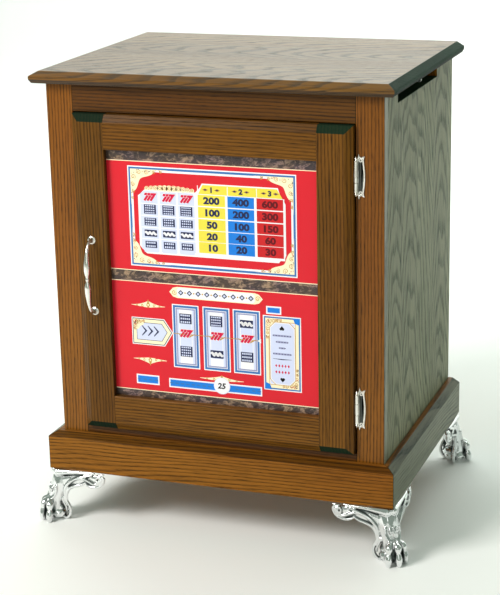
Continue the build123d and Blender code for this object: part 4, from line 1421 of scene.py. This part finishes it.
def clawFoot(look):
    # the front right foot about its own corner: +x out of the side, -y out of the front, z up
    shape = ([], [])
    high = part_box("foot_front_right")[1].z / mm
    inward45 = Vector((-1, 1, 0)).normalized()
    aside45 = Vector((1, 1, 0)).normalized()

    def wingPoint(side, along, below, proud):
        # side 0 is the wing under the front, side 1 the one under the right-hand side
        if side:
            return Vector((proud, along, high - below)) * mm
        return Vector((-along, -proud, high - below)) * mm

    def legPoint(inset, height, aside=0.0):
        spot = (inward45 * inset + aside45 * aside) * mm
        spot.z = height * mm
        return spot

    def chain(points, squash=None, spacing=0.3):
        # a run of overlapping balls through the points, each a place and a radius in millimetres
        keys = smoothed([(*place, radius) for place, radius in points], 4)
        for (*near, r), (*far, r2) in zip(keys, keys[1:]):
            steps = max(1, int(math.dist(near, far) / (spacing * max(r, r2) * mm)))
            for i in range(steps):
                share = i / steps
                spot = Vector(near).lerp(Vector(far), share)
                blob(shape, spot, (r + (r2 - r) * share) * mm, squash)

    def skin(height, aside):
        # inset at which a point beside the shin lies on the leg
        rings = look["leg"]
        for (z, inset, radius), (z2, inset2, radius2) in zip(rings, rings[1:]):
            if z >= height >= z2:
                share = (z - height) / (z - z2)
                inset += (inset2 - inset) * share
                radius += (radius2 - radius) * share
                return inset - math.sqrt(max(radius * radius - aside * aside, 0.0))
        return 0.0

    chain([(legPoint(inset, height), radius) for height, inset, radius in look["leg"]], spacing=0.22)
    for side in (0, 1):
        thin = Matrix.Diagonal((0.36, 1, 1) if side else (1, 0.36, 1))
        chain([(wingPoint(side, *place), radius) for *place, radius in look["bar"]], spacing=0.25)
        chain([(wingPoint(side, *place), radius) for *place, radius in look["leaf"]], thin, 0.2)
        for ridge in look["ridges"]:
            chain([(wingPoint(side, *place), radius) for *place, radius in ridge])
        scroll = look["scroll"]
        curl = []
        for i in range(19):
            share = i / 18
            turn = math.radians(60) - math.tau * scroll["turns"] * share
            reach = scroll["from"] + (scroll["to"] - scroll["from"]) * share
            along = scroll["along"] + reach * math.cos(turn)
            below = scroll["below"] - reach * math.sin(turn)
            curl.append((wingPoint(side, along, below, 1.4 + 2.2 * share), 2.2 - 0.5 * share))
        chain(curl)
        blob(shape, wingPoint(side, scroll["along"], scroll["below"], 3.0), 2.2 * mm)
    # tuft at the ankle: drops inside a loop, both laid on the leg
    chain([(legPoint(skin(height, aside) - 1.3, height, aside), 2.1) for aside, height in look["loop"]])
    for aside, top, bottom in look["tuft"]:
        chain([(legPoint(skin(height, aside) - 0.8, height, aside), radius)
               for height, radius in ((top, 1.3), ((top + bottom) / 2, 2.2), (bottom, 1.4))])
    # paw
    for inset, height, radius, share in look["pads"]:
        blob(shape, legPoint(inset, height), radius * mm, Matrix.Diagonal((1, 1, share)))
    for turn in look["toes"]:
        way = Matrix.Rotation(math.radians(turn), 3, "Z") @ -inward45
        root = legPoint(4.0, 0)
        chain([(root + way * reach * mm + Vector((0, 0, height * mm)), radius)
               for reach, height, radius in look["toe"]], spacing=0.2)
    # melted into one casting
    mesh = bpy.data.meshes.new("clawFoot")
    mesh.from_pydata(shape[0], [], shape[1])
    source = addObject("clawFoot", mesh)
    remesh = source.modifiers.new("remesh", "REMESH")
    remesh.mode = "VOXEL"
    remesh.voxel_size = look["voxel"]
    smooth = source.modifiers.new("smooth", "SMOOTH")
    smooth.factor = 0.6
    smooth.iterations = 2
    return bakedMesh(source)


def trimFoot(mesh, limitLow, limitHigh):
    # flat on the floor and under the plinth, and no wider than the box it stands in
    for vertex in mesh.vertices:
        for axis in range(3):
            vertex.co[axis] = min(max(vertex.co[axis], limitLow[axis]), limitHigh[axis])


def paintHollowShade(mesh, look):
    # the share of short rays that meet the casting again, blurred a little, kept as the attribute for
    # painted shade in hollows
    corners = [vertex.co for vertex in mesh.vertices]
    tree = BVHTree.FromPolygons(corners, [tuple(face.vertices) for face in mesh.polygons])
    tilt = math.radians(look["lean"])
    values = []
    for vertex in mesh.vertices:
        normal = vertex.normal
        across = normal.orthogonal().normalized()
        other = normal.cross(across)
        start = vertex.co + normal * 0.3 * mm
        met = 0
        for ray in range(look["rays"]):
            turn = math.tau * ray / look["rays"]
            sideways = across * math.cos(turn) + other * math.sin(turn)
            way = normal * math.cos(tilt) + sideways * math.sin(tilt)
            if tree.ray_cast(start, way, look["reach"])[0]:
                met += 1
        values.append(met / look["rays"])
    for _ in range(2):
        sums = values[:]
        counts = [1] * len(values)
        for edge in mesh.edges:
            first, second = edge.vertices
            sums[first] += values[second]
            sums[second] += values[first]
            counts[first] += 1
            counts[second] += 1
        values = [total / count for total, count in zip(sums, counts)]
    cavity = mesh.attributes.new("cavity", "FLOAT", "POINT")
    cavity.data.foreach_set("value", values)


footMesh = clawFoot(footLook)
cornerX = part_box("plinth_right_board")[1].x
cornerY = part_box("plinth_front_board")[0].y
footLow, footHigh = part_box("foot_front_right")
trimFoot(
    footMesh,
    (footLow.x - cornerX - 4 * mm, footLow.y - cornerY, 0.0),
    (footHigh.x - cornerX, footHigh.y - cornerY + 4 * mm, footHigh.z - 0.02 * mm),
)
paintHollowShade(footMesh, footLook["hollow"])
footMesh.shade_smooth()

for end, signY in (("front", 1), ("back", -1)):
    for side, signX in (("right", 1), ("left", -1)):
        nodeName = f"foot_{end}_{side}"
        mesh = footMesh.copy()
        mesh.name = camelName(nodeName)
        for vertex in mesh.vertices:
            x, y, z = vertex.co
            vertex.co = ((x + cornerX) * signX, (y + cornerY) * signY, z)
        if signX * signY < 0:
            mesh.flip_normals()
        standIn(nodeName, mesh, finishes["cast_chrome"])
print("claw feet cast")

# the other parts keep their own shape and take a finish
for name, node in nodes.items():
    if not node.hide_render:
        node.data.materials.clear()
        node.data.materials.append(finishes[slotOf[name]])

# the floor sweeps up into the backdrop
sweepLook = {
    "front": -4.0, "turn": 2.6, "radius": 1.6, "top": 4.5, "half": 5.0, "steps": 24,
    "paper": ((0.93, 0.945, 0.93, 1), (0.96, 0.965, 0.955, 1)), "rough": 0.75, "patches": 1.3,
}


def sweepFloor(look):
    line = [(look["front"], 0.0)]
    for step in range(look["steps"] + 1):
        angle = math.pi / 2 * step / look["steps"]
        line.append((
            look["turn"] + look["radius"] * math.sin(angle),
            look["radius"] * (1 - math.cos(angle)),
        ))
    line.append((look["turn"] + look["radius"], look["top"]))
    mesh = bpy.data.meshes.new("sweep")
    points = [(x, y, z) for y, z in line for x in (-look["half"], look["half"])]
    faces = [(2 * i, 2 * i + 1, 2 * i + 3, 2 * i + 2) for i in range(len(line) - 1)]
    mesh.from_pydata(points, [], faces)
    mesh.shade_smooth()
    floor = addObject("sweep", mesh)
    material, wire = startMaterial("sweepPaper", {"Roughness": look["rough"]})
    patch = wire.noise(wire.objectPlace(), scale=look["patches"], detail=3)
    feed(material, {"Base Color": wire.blend(patch, *look["paper"])})
    mesh.materials.append(material)


sweepFloor(sweepLook)
